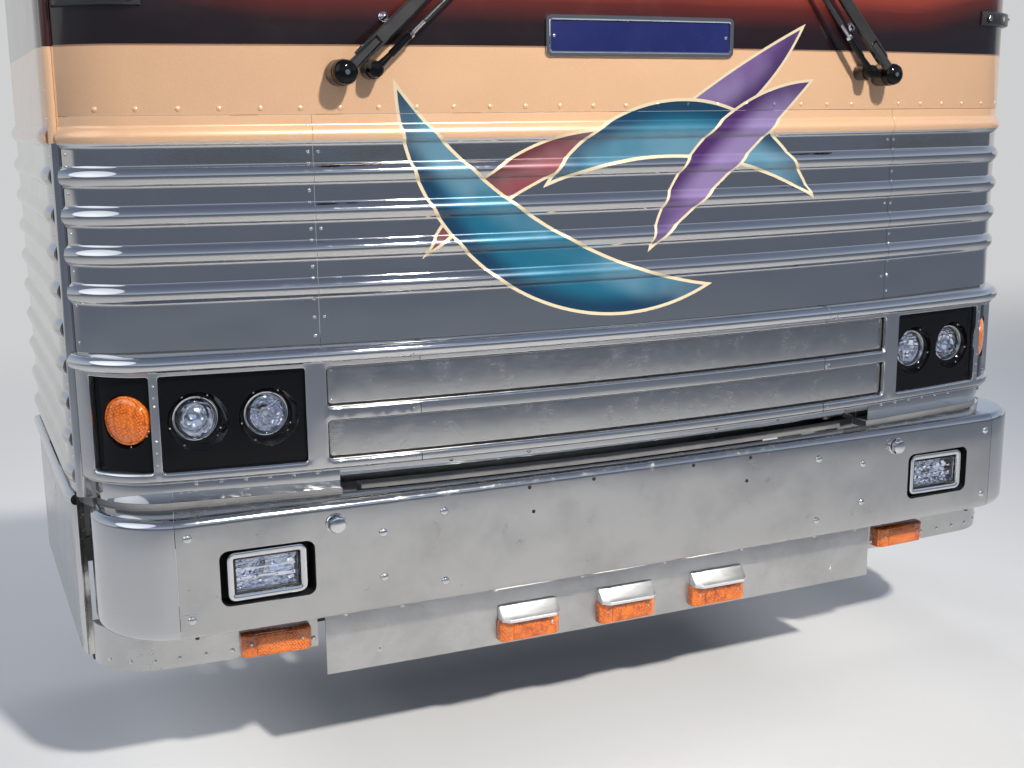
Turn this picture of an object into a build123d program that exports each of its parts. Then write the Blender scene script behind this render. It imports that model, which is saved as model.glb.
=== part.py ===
"""Front end of a coach-built motorhome, below the windscreen: the fluted bright skin with its painted upper
band, the lamp panel, side returns as far as the wheel arches, a bumper that reclines on two low hinges,
pantograph wipers, and the frame behind that bolts to the chassis.

Axes: X to the right as seen from in front of the coach, Y towards its tail, Z up. The origin is the middle of
the four bolt holes in the end plates of the two chassis rails. Heights are given above the road, depths
behind the foremost line of the skin. All lengths are in millimetres, all angles in degrees.
"""

import os
from dataclasses import dataclass
from math import acos, asin, cos, degrees, pi, radians, sin, sqrt

from build123d import *

os.makedirs("parts", exist_ok=True)

# Datum: the road below the origin, and the foremost line of the skin in front of it
mount_height = 480.0
skin_to_mount = 1150.0
road = -mount_height
face = -skin_to_mount

# Plan of the body: a wide shallow bow, a tight corner and a straight side
half_width = 1305.0
bow_radius = 5800.0
corner_radius = 200.0
side_back = 1138.0

# Plan of the lamp panel, which stands a little ahead of the fluted skin and bows less
lamp_panel_ahead = 12.0
lamp_panel_in = 10.0
lamp_panel_bow_radius = 7400.0

# Plan of the bumper, which bows less still and turns its own tighter corner
bumper_ahead = 32.0
bumper_half_width = half_width - 24.0
bumper_bow_radius = 32680.0
bumper_corner_radius = 180.0
bumper_back = 190.0
bumper_seam = bumper_half_width - 151.0

# Heights above the road
valance_low = 276.0
valance_high = 440.0
skirt_low = 345.0
skirt_high = 440.0
side_skirt_low = 352.0
bumper_low = 450.0
bumper_high = 725.0
side_trim = 738.0
apron_low = 733.0
panel_low = 786.0
window_low = 809.0
mid_bar_low = 898.0
mid_bar_high = 929.0
window_high = 1020.0
panel_high = 1044.0
flute_top = 1565.0
painted_top = 1880.0
sill_top = 1900.0
rear_post_low = 330.0

# Sheet and edge thicknesses, and the gap left between pieces that seat on each other
skin = 12.0
sheet = 4.0
seat = 0.3
swing_gap = 6.0

# Flutes: half-round ridges rolled into the bright panels
flute_pitch = 82.2
flute_tall = 42.0
flute_proud = 12.0
top_flute_height = 1522.0
front_flutes = 5
side_flutes = 10

# Stations across the front: the panel seam, the splits of the bars, the windows, the lamp bays and the strip
panel_seam = half_width - 526.0
bar_split = half_width - 744.0
split_gap = 2.0
window_end = half_width - 530.0
bay_inner = half_width - 483.0
divider_x = half_width - 163.0
divider_width = 19.0
bay_outer_back = 165.0
strip_front = 212.0
strip_back = 246.0
strip_proud = 12.0

# Bead over the joint between the fluted skin and the lamp panel: low edge, high edge, how far it stands proud
bead_low = 1028.0
bead_high = 1064.0
bead_proud = 15.0

# Lamp panel with its windows, the sheets in the windows, and the black buckets behind the lamp bays
frame_depth = 15.0
window_sheet = 8.0
window_lap = 14.0
bucket_depth = 60.0
bucket_wall = 5.0
bucket_lap = 7.0
dish_radius = 66.0
dish_drop = 3.0

# Lamps: radius of the rim, radius of the can behind, depth of rim and of the dome of its lens
headlamp_x = (half_width - 403.5, half_width - 252.0)
headlamp_height = 917.0
headlamp_rim = 56.0
headlamp_can = 46.0
headlamp_dome = 10.0
rim_depth = 16.0
headlamp_depth = 110.0
headlamp_sunk = 39.0
turn_lamp_x = half_width - 106.0
turn_lamp_back = 122.0
turn_lamp_height = 920.0
turn_lamp_angle = 40.0
turn_lamp_rim = 57.0
turn_lamp_can = 47.0
turn_lamp_dome = 18.0
turn_lamp_depth = 85.0
can_clearance = 0.3

# Apron between the lower rail and the bumper, deeply set back in the middle
apron_inset = 28.0
channel_half = panel_seam - 31.0
channel_inset = 72.0

# Bumper section
bumper_flange = 150.0
bumper_nose = 20.0
bumper_heel = 26.0
bumper_return = 34.0
flange_gap = 8.0

# Fog lamps in their cut-outs
fog_x = bumper_half_width - 345.5
fog_height = 581.0
fog_cut_width = 211.0
fog_cut_height = 126.0
fog_cut_corner = 20.0
fog_width = 178.0
fog_tall = 112.0
fog_depth = 75.0
fog_corner = 18.0
fog_sunk = 6.0
fog_shelf_drop = 81.0
fog_shelf_height = fog_height - fog_shelf_drop
fog_shelf_thick = 10.0
fog_shelf_outer = fog_x + 109.5
fog_shelf_back = 82.0

# Bumper beam, its outriggers and the brackets that carry the lower plates
beam_low = 520.0
beam_high = 640.0
beam_back = 80.0
beam_half = fog_x - 135.5
outrigger_heights = (fog_height + 91.0, fog_height - 103.0)
outrigger_size = 30.0
outrigger_front = 24.0
outrigger_end = bumper_half_width - 101.0
outrigger_lap = 60.0
fog_shelf_inner = beam_half - 5.0
rib_thickness = 8.0
valance_rib_x = (300.0, 600.0)
skirt_rib_x = (fog_x - 85.5, fog_x + 154.5)

# Hinges of the bumper
hinge_x = 520.0
hinge_back = 150.0
hinge_height = 350.0
hinge_pin_radius = 12.0
pin_clearance = 0.05
hinge_arm_width = 24.0
hinge_eye = 30.0
hinge_cheek = 12.0
cheek_gap = 1.0

# Valance, skirts and markers
valance_half = bumper_half_width - 492.0
valance_inset = 99.0
skirt_start = valance_half + 12.0
skirt_back = 232.0
skirt_set_back = 78.0
skirt_half_width = half_width - 15.0
skirt_bow_radius = 20000.0
skirt_corner_radius = 150.0
marker_x = (-275.0, 0.0, 275.0)
marker_height = 316.0
marker_width = 164.0
marker_tall = 56.0
marker_thick = 28.0
hood_height = 34.0
hood_depth = 44.0
outer_marker_x = skirt_start + 100.0
outer_marker_height = 378.0

# Round caps over the towing eyes
tow_cap_x = bumper_half_width - 500.0
tow_cap_height = 676.0
tow_cap_radius = 23.0
tow_cap_proud = 20.0

# Plate for a name, left blank
plate_half = 247.0
plate_low = 1689.0
plate_high = 1779.0
plate_thick = 9.0

# Feet of the mirror arms on the corners
mirror_foot_low = 1784.0
mirror_foot_high = 1824.0
mirror_foot_x = half_width - 193.0
mirror_foot_back = 205.0
mirror_foot_proud = 16.0

# Wipers: columns are side, lean of the parked arm towards the middle
wiper_parked = {"left": 48.0, "right": 41.0}
pivot_x = 720.0
pivot_height = 1651.0
link_in = 67.0
link_up = 6.0
arm_length = 880.0
arm_proud = 76.0
arm_depth = 16.0
hub_radius = 27.0
hub_depth = 30.0
link_hub_radius = 18.0
link_width = 14.0
arm_width = 30.0
arm_tip_width = 18.0
tip_radius = 13.0
spindle_radius = 10.0
spindle_flange = 28.0
shaft_radius = 14.0
motor_radius = 45.0
motor_length = 110.0
tip_pin_radius = 5.0
open_pin_clearance = 0.6
carrier_thick = 6.0
carrier_width = 26.0
blade_length = 740.0
blade_up = 40.0
blade_width = 14.0
blade_depth = 22.0

# Frame: hoops behind the skin, posts, beams, chassis rails and the tray for a spare wheel
hoop_depth = 50.0
hoop_thick = 20.0
mid_hoop = 1070.0
top_hoop = 1850.0
post_size = 50.0
rail_post_top = 1590.0
rail_x = 650.0
rail_width = 80.0
rail_height = 160.0
rail_front = 116.0
end_plate_width = 190.0
end_plate_height = 270.0
end_plate_thick = 12.0
bolt_radius = 11.0
bolt_rise = 102.0
beam_drop = 70.0
cross_front = 275.0
cross_width = 70.0
rear_gap = 70.0
bay_half = 560.0
bay_high = 730.0
bay_wall = 4.0
rear_post = 60.0


@dataclass
class Plan:
    """A line round the body seen from above. A station is a distance along it from the middle of the front."""

    front: float
    half: float
    bow: float
    corner: float

    @property
    def corner_x(self):
        return self.half - self.corner

    @property
    def corner_y(self):
        return self.front + self.bow - sqrt((self.bow - self.corner) ** 2 - self.corner_x**2)

    @property
    def bow_angle(self):
        return asin(self.corner_x / (self.bow - self.corner))

    @property
    def bow_end(self):
        return self.bow * self.bow_angle

    @property
    def corner_end(self):
        return self.bow_end + self.corner * (pi / 2 - self.bow_angle)

    def at_x(self, x):
        """Station at a distance x from the middle, on the bow or the corner."""
        if x > self.bow * sin(self.bow_angle):
            return self.bow_end + self.corner * (asin((x - self.corner_x) / self.corner) - self.bow_angle)
        return self.bow * asin(x / self.bow)

    def at_back(self, back):
        """Station at a depth behind the front of the skin, on the corner or the side."""
        y = face + back
        if y >= self.corner_y:
            return self.corner_end + y - self.corner_y
        return self.bow_end + self.corner * (acos((self.corner_y - y) / self.corner) - self.bow_angle)

    def angle(self, station):
        """How far the line has turned from straight across, in radians."""
        if station <= self.bow_end:
            return station / self.bow
        return min(pi / 2, self.bow_angle + (station - self.bow_end) / self.corner)

    def point(self, station, inset=0.0):
        turn = self.angle(station)
        if station <= self.bow_end:
            radius = self.bow - inset
            return radius * sin(turn), self.front + self.bow - radius * cos(turn)
        past = max(0.0, station - self.corner_end)
        radius = self.corner - inset
        return self.corner_x + radius * sin(turn), self.corner_y - radius * cos(turn) + past

    def y_at(self, x, inset=0.0):
        """Depth coordinate of the line, set in by an amount, at a distance x on the bow."""
        return self.front + self.bow - sqrt((self.bow - inset) ** 2 - x**2)

    def plane(self, station, inset=0.0):
        """Upright plane across the line, its X pointing out of the body and its Y up, at road level."""
        x, y = self.point(station, inset)
        turn = self.angle(station)
        return Plane(
            origin=(x, y, road),
            x_dir=(sin(turn), -cos(turn), 0),
            z_dir=(-cos(turn), -sin(turn), 0),
        )

    def trace(self, start, end, inset=0.0):
        """Adds the line from one station to another to the line in hand."""
        bow_stop = min(end, self.bow_end)
        if start < bow_stop:
            first = 270 + degrees(start / self.bow)
            CenterArc((0, self.front + self.bow), self.bow - inset, first, degrees((bow_stop - start) / self.bow))
        corner_start = max(start, self.bow_end)
        corner_stop = min(end, self.corner_end)
        if corner_start < corner_stop:
            first = 270 + degrees(self.angle(corner_start))
            size = degrees((corner_stop - corner_start) / self.corner)
            CenterArc((self.corner_x, self.corner_y), self.corner - inset, first, size)
        if end > self.corner_end:
            side_start = max(start, self.corner_end)
            Line(self.point(side_start, inset), self.point(end, inset))

    def region(self, inset, back, mode=Mode.ADD):
        """Adds the whole area inside the line, set in by an amount, as far back as a depth."""
        end = self.at_back(back)
        with BuildLine() as outline:
            self.trace(0, end, inset)
            mirror(about=Plane.YZ)
            x, y = self.point(end, inset)
            Line((x, y), (-x, y))
        make_face(outline.edges(), mode=mode)


body = Plan(face, half_width, bow_radius, corner_radius)
lamp_panel = Plan(face - lamp_panel_ahead, half_width - lamp_panel_in, lamp_panel_bow_radius, corner_radius)
bumper = Plan(face - bumper_ahead, bumper_half_width, bumper_bow_radius, bumper_corner_radius)
skirt = Plan(face + skirt_set_back, skirt_half_width, skirt_bow_radius, skirt_corner_radius)


def swept(plan, start, end, outline, inset=0.0):
    """A solid of one section, drawn by outline(), run round a plan line between two stations."""
    with BuildPart() as piece:
        with BuildLine(Plane.XY.offset(road)) as path:
            plan.trace(start, end, inset)
        with BuildSketch(plan.plane(start, inset)):
            outline()
        sweep(path=path.line)
    return piece.part


def band(low, high, out, back):
    """Section outline: a rectangle between two heights, from out of the line to back inside it."""
    with BuildLine() as outline:
        Polyline((out, low), (out, high), (-back, high), (-back, low), (out, low))
    make_face(outline.edges())


def rail_section(low, high, proud, base=seat):
    """Section outline: a rail with a half-round nose, on a seat that stands off the line by base."""
    radius = (high - low) / 2
    middle = (high + low) / 2
    with BuildLine() as outline:
        Line((base, low), (proud - radius, low))
        ThreePointArc((proud - radius, low), (proud, middle), (proud - radius, high))
        Polyline((proud - radius, high), (base, high), (base, low))
    make_face(outline.edges())


def fluted_section(low, high, count):
    """Section outline: a panel with half-round flutes, counted down from the top one."""
    with BuildLine() as outline:
        foot = (0, low)
        for index in reversed(range(count)):
            middle = top_flute_height - index * flute_pitch
            Line(foot, (0, middle - flute_tall / 2))
            ThreePointArc((0, middle - flute_tall / 2), (flute_proud, middle), (0, middle + flute_tall / 2))
            foot = (0, middle + flute_tall / 2)
        Polyline(foot, (0, high), (-skin, high), (-skin, low), (0, low))
    make_face(outline.edges())


def save(part, name):
    """Labels a finished piece and writes it."""
    part.label = name
    export_step(part, f"parts/{name}.step")


def with_mirror(part):
    """One node that holds a piece and its mirror image."""
    with BuildPart() as both:
        add(part)
        mirror(part, about=Plane.YZ)
    return both.part


def up(height):
    """Z of a height above the road."""
    return road + height


seam = body.at_x(panel_seam)
split = lamp_panel.at_x(bar_split)
panel_end = lamp_panel.at_back(strip_front)
strip_start = body.at_back(strip_front)
strip_end = body.at_back(strip_back)
side_end = body.at_back(side_back)


# Skin of the front
def fluted_panels():
    low = panel_high + seat
    centre = swept(body, -seam + seat, seam - seat, lambda: fluted_section(low, flute_top - seat, front_flutes))
    save(centre, "fluted_centre")
    corner = swept(body, seam, strip_start - seat, lambda: fluted_section(low, flute_top - seat, front_flutes))
    save(with_mirror(corner), "fluted_corners")


def wiper_holes():
    """Both holes of each wiper through the painted panel, as solids to cut with."""
    with BuildPart() as holes:
        places = [(pivot_x, pivot_height), (pivot_x - link_in, pivot_height + link_up)]
        for x, height in places:
            with Locations(Location((x, face, up(height)), (90, 0, 0))):
                Cylinder(shaft_radius + seat, 2 * strip_front)
        mirror(about=Plane.YZ)
    return holes.part


def painted_panel():
    with BuildPart() as panel:
        with BuildSketch(Plane.XY.offset(up(flute_top))):
            body.region(0, strip_front)
            body.region(skin, strip_front, Mode.SUBTRACT)
        extrude(amount=painted_top - flute_top - seat)
        add(wiper_holes(), mode=Mode.SUBTRACT)
    save(panel.part, "painted_panel")


def sill_rubber():
    with BuildPart() as rubber:
        with BuildSketch(Plane.XY.offset(up(painted_top))):
            body.region(-4, strip_front)
            body.region(34, strip_front, Mode.SUBTRACT)
        extrude(amount=sill_top - painted_top)
    save(rubber.part, "sill_rubber")


def side_panels():
    low = side_trim + seat
    fluted = swept(body, strip_end + seat, side_end, lambda: fluted_section(low, painted_top, side_flutes))
    save(with_mirror(fluted), "side_panels")
    strip = swept(body, strip_start, strip_end, lambda: band(side_trim, painted_top, 2, skin))
    rounded = swept(
        body,
        body.at_back(strip_front + 6),
        body.at_back(strip_back - 6),
        lambda: band(side_trim, painted_top, strip_proud, 0),
    )
    with BuildPart() as strips:
        add(strip)
        add(rounded)
    save(with_mirror(strips.part), "corner_strips")


def side_skirts():
    start = strip_end + swing_gap
    plate = swept(body, start, side_end, lambda: band(side_skirt_low, side_trim - seat, 4, skin))
    top_trim = swept(body, start, side_end, lambda: rail_section(side_trim - 26, side_trim - seat, 17, 3))
    front_trim = swept(body, start, start + 16, lambda: band(side_skirt_low + 40, side_trim - seat, 10, 2))
    with BuildPart() as piece:
        add(plate)
        add(top_trim)
        add(front_trim)
    save(with_mirror(piece.part), "side_skirts")


# Bead, bars and windows of the lamp panel
def strip_room():
    """The room that the corner strips need beside the lamp panel, as a solid to cut with."""
    with BuildPart() as room:
        section = (apron_low, bead_high, 2 * strip_proud, bucket_depth)
        add(swept(body, strip_start - seat, strip_end, lambda: band(*section)))
    return room.part


def body_room():
    """The fluted skin and all behind it at the height of the bead, as a solid to cut with."""
    with BuildPart() as room:
        with BuildSketch(Plane.XY.offset(up(panel_high + seat))):
            body.region(-seat, side_back)
        extrude(amount=bead_high - panel_high)
    return room.part


def bead_section(land):
    """Section outline: a rounded bead whose upper half runs back over the panel's edge to the fluted skin.
    With land, it carries the flat bar below it too."""
    middle = (bead_high + bead_low) / 2
    ledge = panel_high + seat
    reach = -4 * bead_proud
    with BuildLine() as outline:
        Line((reach, bead_high), (seat, bead_high))
        ThreePointArc((seat, bead_high), (bead_proud, middle), (seat, bead_low))
        if land:
            bar = [(seat, bead_low), (0, bead_low), (0, window_high), (-frame_depth, window_high)]
            Polyline(*bar, (-frame_depth, ledge), (reach, ledge), (reach, bead_high))
        else:
            Polyline((seat, bead_low), (seat, ledge), (reach, ledge), (reach, bead_high))
    make_face(outline.edges())


def bead():
    outer = swept(lamp_panel, split + split_gap, panel_end, lambda: bead_section(False))
    with BuildPart() as pieces:
        add(swept(lamp_panel, -split, split, lambda: bead_section(True)))
        add(outer)
        mirror(outer, about=Plane.YZ)
        add(body_room(), mode=Mode.SUBTRACT)
        add(with_mirror(strip_room()), mode=Mode.SUBTRACT)
    save(pieces.part, "upper_rail")


def bars():
    for name, low, high in (("lower_rail", panel_low, window_low), ("mid_rail", mid_bar_low, mid_bar_high)):
        bar = swept(lamp_panel, -split, split, lambda: band(low, high, 0, frame_depth))
        save(bar, name)


def centre_panels():
    """The two sheets in the windows, set back behind the bars."""
    middle = (mid_bar_low + mid_bar_high) / 2
    rows = ((panel_low, middle - seat / 2), (middle + seat / 2, panel_high))
    end = lamp_panel.at_x(window_end) + window_lap
    front = frame_depth + seat
    with BuildPart() as panels:
        for low, high in rows:
            add(swept(lamp_panel, -end, end, lambda: band(low, high, -front, front + window_sheet)))
    save(panels.part, "centre_panels")


def apron_sheet(start, end, inset):
    """An upright sheet with a return along its top that runs forward under the lamp panel."""
    top = panel_low - seat
    with BuildPart() as piece:
        add(swept(lamp_panel, start, end, lambda: band(apron_low, top, -inset, inset + sheet)))
        add(swept(lamp_panel, start, end, lambda: band(top - sheet, top, -sheet, inset + sheet)))
    return piece.part


def aprons():
    channel = lamp_panel.at_x(channel_half)
    with BuildPart() as apron:
        add(apron_sheet(channel, panel_end, apron_inset))
        add(strip_room(), mode=Mode.SUBTRACT)
        mirror(about=Plane.YZ)
        add(apron_sheet(-channel + seat, channel - seat, channel_inset))
    save(apron.part, "apron")


# Lamp bays
def window_cut(start, end, low, high):
    return swept(lamp_panel, start, end, lambda: band(low, high, frame_depth, 2 * frame_depth))


def lamp_frames():
    """The outer thirds of the lamp panel: the ends of the bars and the openings of the lamp bays."""
    divider = divider_width / 2
    start = split + split_gap
    end = lamp_panel.at_x(window_end)
    with BuildPart() as frame:
        add(swept(lamp_panel, start, panel_end, lambda: band(panel_low, panel_high, 0, frame_depth)))
        add(window_cut(start - split_gap, end, window_low, mid_bar_low), mode=Mode.SUBTRACT)
        add(window_cut(start - split_gap, end, mid_bar_high, window_high), mode=Mode.SUBTRACT)
        for first, last in (
            (lamp_panel.at_x(bay_inner), lamp_panel.at_x(divider_x - divider)),
            (lamp_panel.at_x(divider_x + divider), lamp_panel.at_back(bay_outer_back)),
        ):
            add(window_cut(first, last, window_low, window_high), mode=Mode.SUBTRACT)
        add(strip_room(), mode=Mode.SUBTRACT)
    save(with_mirror(frame.part), "lamp_frames")


def headlamp():
    """A round lamp that looks towards the front, its rim's front face at the origin."""
    return round_lamp(headlamp_rim, headlamp_can, headlamp_depth, headlamp_dome)


def round_lamp(rim, can, depth, dome):
    lens = rim - 6
    with BuildPart() as lamp:
        with BuildSketch(Plane.XY):
            with BuildLine():
                Polyline((lens, 0), (rim, 0), (rim, rim_depth), (can, rim_depth), (can, depth - 12))
                Polyline((can, depth - 12), (can * 0.6, depth), (0, depth), (0, -dome))
                ThreePointArc((0, -dome), (lens * 0.55, -dome * 0.7), (lens, 0))
            make_face()
        revolve(axis=Axis.Y)
    return lamp.part


def lamp_places():
    """Places of the right-hand lamps: two headlamps and the turn lamp on the corner."""
    places = [
        Location((x, lamp_panel.y_at(x) + headlamp_sunk, up(headlamp_height)))
        for x in headlamp_x
    ]
    turn = Location((turn_lamp_x, face + turn_lamp_back, up(turn_lamp_height)), (0, 0, turn_lamp_angle))
    return places, turn


def lamps():
    places, turn = lamp_places()
    with BuildPart() as pair:
        with Locations(places):
            add(headlamp())
    save(with_mirror(pair.part), "headlamps")
    with BuildPart() as amber:
        with Locations(turn):
            add(round_lamp(turn_lamp_rim, turn_lamp_can, turn_lamp_depth, turn_lamp_dome))
    save(with_mirror(amber.part), "turn_lamps")


def dish(radius, small, depth):
    """A cone to cut a dish with, its wide end in front of the origin."""
    with BuildPart() as cone:
        with BuildSketch(Plane.XY):
            with BuildLine():
                Polyline((0, -depth), (radius, -depth), (radius, 0))
                Polyline((radius, 0), (small, depth), (0, depth), (0, -depth))
            make_face()
        revolve(axis=Axis.Y)
    return cone.part


def lamp_buckets():
    """Black box behind the bays: a thick face with a dish round each headlamp, and walls, open at the back."""
    places, turn = lamp_places()
    front = frame_depth + seat
    back = front + headlamp_sunk - frame_depth
    start = lamp_panel.at_x(bay_inner) - bucket_lap
    end = lamp_panel.at_back(bay_outer_back) + bucket_lap
    low, high = window_low - bucket_lap, window_high + bucket_lap
    with BuildPart() as bucket:
        add(swept(lamp_panel, start, end, lambda: band(low, high, -front, bucket_depth)))
        hollow = swept(
            lamp_panel,
            start + bucket_wall,
            end - bucket_wall,
            lambda: band(low + bucket_wall, high - bucket_wall, -back, bucket_depth + bucket_wall),
        )
        add(hollow, mode=Mode.SUBTRACT)
        for x in headlamp_x:
            with Locations((x, lamp_panel.y_at(x) + front, up(headlamp_height - dish_drop))):
                add(dish(dish_radius, headlamp_rim + can_clearance, back - front), mode=Mode.SUBTRACT)
        with Locations(places):
            Cylinder(headlamp_rim + can_clearance, 2 * headlamp_depth, rotation=(90, 0, 0), mode=Mode.SUBTRACT)
        with Locations(turn):
            Cylinder(turn_lamp_rim + can_clearance, 2 * turn_lamp_depth, rotation=(90, 0, 0), mode=Mode.SUBTRACT)
    save(with_mirror(bucket.part), "lamp_buckets")


# Bumper
def bumper_section():
    """Section outline: a pressed sheet with a flange on top, a rounded nose and heel, and a return below."""
    top, low = bumper_high, bumper_low
    with BuildLine() as outline:
        Line((-bumper_flange, top), (-bumper_nose, top))
        TangentArc((-bumper_nose, top), (0, top - bumper_nose), tangent=(1, 0))
        Line((0, top - bumper_nose), (0, low + bumper_heel))
        TangentArc((0, low + bumper_heel), (-bumper_heel, low), tangent=(0, -1))
        lip = (-bumper_return, low)
        Polyline((-bumper_heel, low), lip, (-bumper_return, low + sheet), (-bumper_heel, low + sheet))
        TangentArc((-bumper_heel, low + sheet), (-sheet, low + bumper_heel), tangent=(1, 0))
        Line((-sheet, low + bumper_heel), (-sheet, top - bumper_nose))
        TangentArc((-sheet, top - bumper_nose), (-bumper_nose, top - sheet), tangent=(0, 1))
        Polyline((-bumper_nose, top - sheet), (-bumper_flange, top - sheet), (-bumper_flange, top))
    make_face(outline.edges())


def behind_apron():
    """The room that the body's apron needs behind the bumper's top flange, as a solid to cut with."""
    with BuildPart() as room:
        with BuildSketch(Plane.XY.offset(up(bumper_high - 2 * bumper_nose))):
            lamp_panel.region(apron_inset - flange_gap, side_back)
        extrude(amount=4 * bumper_nose)
    return room.part


def fog_holes():
    with BuildPart() as holes:
        for x in (-fog_x, fog_x):
            place = (x, bumper.front - bumper_nose, up(fog_height))
            with BuildSketch(Plane(origin=place, x_dir=(1, 0, 0), z_dir=(0, 1, 0))):
                RectangleRounded(fog_cut_width, fog_cut_height, fog_cut_corner)
            extrude(amount=bumper_flange)
    return holes.part


def bumper_cover():
    seam_station = bumper.at_x(bumper_seam)
    room = behind_apron()
    with BuildPart() as cover:
        turned = swept(bumper, bumper.bow_end, seam_station, bumper_section)
        add(swept(bumper, -bumper.bow_end, bumper.bow_end, bumper_section))
        add(turned)
        mirror(turned, about=Plane.YZ)
        add(room, mode=Mode.SUBTRACT)
        add(fog_holes(), mode=Mode.SUBTRACT)
    save(cover.part, "bumper_face")
    end = bumper.at_back(bumper_back)
    with BuildPart() as cap:
        add(swept(bumper, seam_station + seat, end, bumper_section))
        add(room, mode=Mode.SUBTRACT)
    save(with_mirror(cap.part), "bumper_ends")


def beam_plan(back):
    """Area between the inside of the bumper's face and a straight line behind it."""
    reach = bumper.at_x(beam_half)
    with BuildLine() as outline:
        bumper.trace(-reach, reach, sheet + seat)
        x, y = bumper.point(reach, sheet + seat)
        Polyline((x, y), (x, face + back), (-x, face + back), (-x, y))
    make_face(outline.edges())


def bumper_beam():
    low, high = up(beam_low), up(beam_high)
    with BuildPart() as beam:
        with BuildSketch(Plane.XY.offset(low)):
            beam_plan(beam_back)
        extrude(amount=high - low)
        for height in outrigger_heights:
            middle = face + outrigger_front + outrigger_size / 2
            for side in (-1, 1):
                reach = outrigger_end - beam_half + outrigger_lap
                with Locations((side * (outrigger_end - reach / 2), middle, up(height))):
                    Box(reach, outrigger_size, outrigger_size)
                with Locations((side * (beam_half - outrigger_lap / 2), middle, up((height + fog_height) / 2))):
                    Box(outrigger_lap, outrigger_size, abs(height - fog_height))
        for x in (*valance_rib_x, *skirt_rib_x):
            back = valance_rib_back(x)
            for side in (-1, 1):
                with BuildSketch(Plane(origin=(side * x - rib_thickness / 2, 0, 0), x_dir=(0, 1, 0), z_dir=(1, 0, 0))):
                    rib_outline(x, back)
                extrude(amount=rib_thickness)
        for side in (-1, 1):
            start = side * hinge_x - hinge_arm_width / 2
            with BuildSketch(Plane(origin=(start, 0, 0), x_dir=(0, 1, 0), z_dir=(1, 0, 0))):
                hinge_arm_outline()
            extrude(amount=hinge_arm_width)
            x = (fog_shelf_inner + fog_shelf_outer) / 2
            y = face + (outrigger_front + fog_shelf_back) / 2
            with Locations((side * x, y, up(fog_shelf_height))):
                Box(fog_shelf_outer - fog_shelf_inner, fog_shelf_back - outrigger_front, fog_shelf_thick)
    save(beam.part, "bumper_beam")


def valance_rib_back(x):
    """Depth of the plate that a rib carries: the valance in the middle, a skirt further out."""
    if x < valance_half:
        return bumper.y_at(x + rib_thickness, valance_inset + sheet + seat)
    return skirt.y_at(x + rib_thickness, sheet + seat)


def rib_outline(x, plate):
    low = up(valance_low + 30 if x < valance_half else skirt_low + 15)
    top = up(beam_low + 10 if x < beam_half else outrigger_heights[1])
    front = face + outrigger_front
    with BuildLine() as outline:
        Polyline(
            (front, top),
            (front, top - 40),
            (plate, up(valance_high) + 8),
            (plate, low),
            (plate + 22, low),
            (plate + 22, top),
            (front, top),
        )
    make_face(outline.edges())


def hinge_arm_outline():
    pivot = (face + hinge_back, up(hinge_height))
    with BuildLine() as outline:
        Polyline(
            (face + 20, up(beam_low + 20)),
            (face + beam_back, up(beam_low + 60)),
            (pivot[0] + hinge_eye, pivot[1]),
            (pivot[0] - hinge_eye, pivot[1]),
            (pivot[0] - hinge_eye, up(valance_high + 20)),
            (face + 20, up(beam_low + 20)),
        )
    make_face(outline.edges())
    with Locations(pivot):
        Circle(hinge_eye)
        Circle(hinge_pin_radius + pin_clearance, mode=Mode.SUBTRACT)


def hinge_brackets():
    """Cheeks either side of each hinge arm, on the front of the lower cross beam."""
    pivot = (face + hinge_back, up(hinge_height))
    offset = hinge_arm_width / 2 + cheek_gap
    with BuildPart() as brackets:
        for side in (-1, 1):
            for out in (-offset - hinge_cheek, offset):
                with BuildSketch(Plane(origin=(side * hinge_x + out, 0, 0), x_dir=(0, 1, 0), z_dir=(1, 0, 0))):
                    with BuildLine():
                        Polyline(
                            (pivot[0], pivot[1] - hinge_eye),
                            (face + cross_front - seat, up(rear_post_low + 4)),
                            (face + cross_front - seat, up(rear_post_low + beam_drop - 4)),
                            (pivot[0], pivot[1] + hinge_eye),
                            (pivot[0], pivot[1] - hinge_eye),
                        )
                    make_face()
                    with Locations(pivot):
                        Circle(hinge_eye)
                        Circle(hinge_pin_radius, mode=Mode.SUBTRACT)
                extrude(amount=hinge_cheek)
    save(brackets.part, "hinge_brackets")
    length = hinge_arm_width + 2 * cheek_gap + 2 * hinge_cheek + 16
    with BuildPart() as pins:
        for side in (-1, 1):
            with Locations((side * hinge_x, *pivot)):
                Cylinder(hinge_pin_radius, length, rotation=(0, 90, 0))
    save(pins.part, "hinge_pins")


def fog_lamps():
    front = bumper.y_at(fog_x) + fog_sunk
    with BuildPart() as lamp:
        with BuildSketch(Plane(origin=(fog_x, front, up(fog_height)), x_dir=(1, 0, 0), z_dir=(0, 1, 0))):
            RectangleRounded(fog_width, fog_tall, fog_corner)
        extrude(amount=20)
        with BuildSketch(Plane(origin=(fog_x, front + 20, up(fog_height)), x_dir=(1, 0, 0), z_dir=(0, 1, 0))):
            RectangleRounded(fog_width - 16, fog_tall - 14, fog_corner)
        extrude(amount=fog_depth - 20, taper=12)
        foot_low = fog_shelf_height + fog_shelf_thick / 2 + seat
        foot_high = fog_height - fog_tall / 2 + 14
        with Locations((fog_x, front + 34, up((foot_low + foot_high) / 2))):
            Box(60, 24, foot_high - foot_low)
    save(with_mirror(lamp.part), "fog_lamps")


def valance():
    reach = bumper.at_x(valance_half)
    section = (valance_low, valance_high, -valance_inset, valance_inset + sheet)
    plate = swept(bumper, -reach, reach, lambda: band(*section))
    save(plate, "valance")


def skirts():
    start = skirt.at_x(skirt_start)
    end = skirt.at_back(skirt_back)
    plate = swept(skirt, start, end, lambda: band(skirt_low, skirt_high, 0, sheet))
    save(with_mirror(plate), "skirts")


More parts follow.
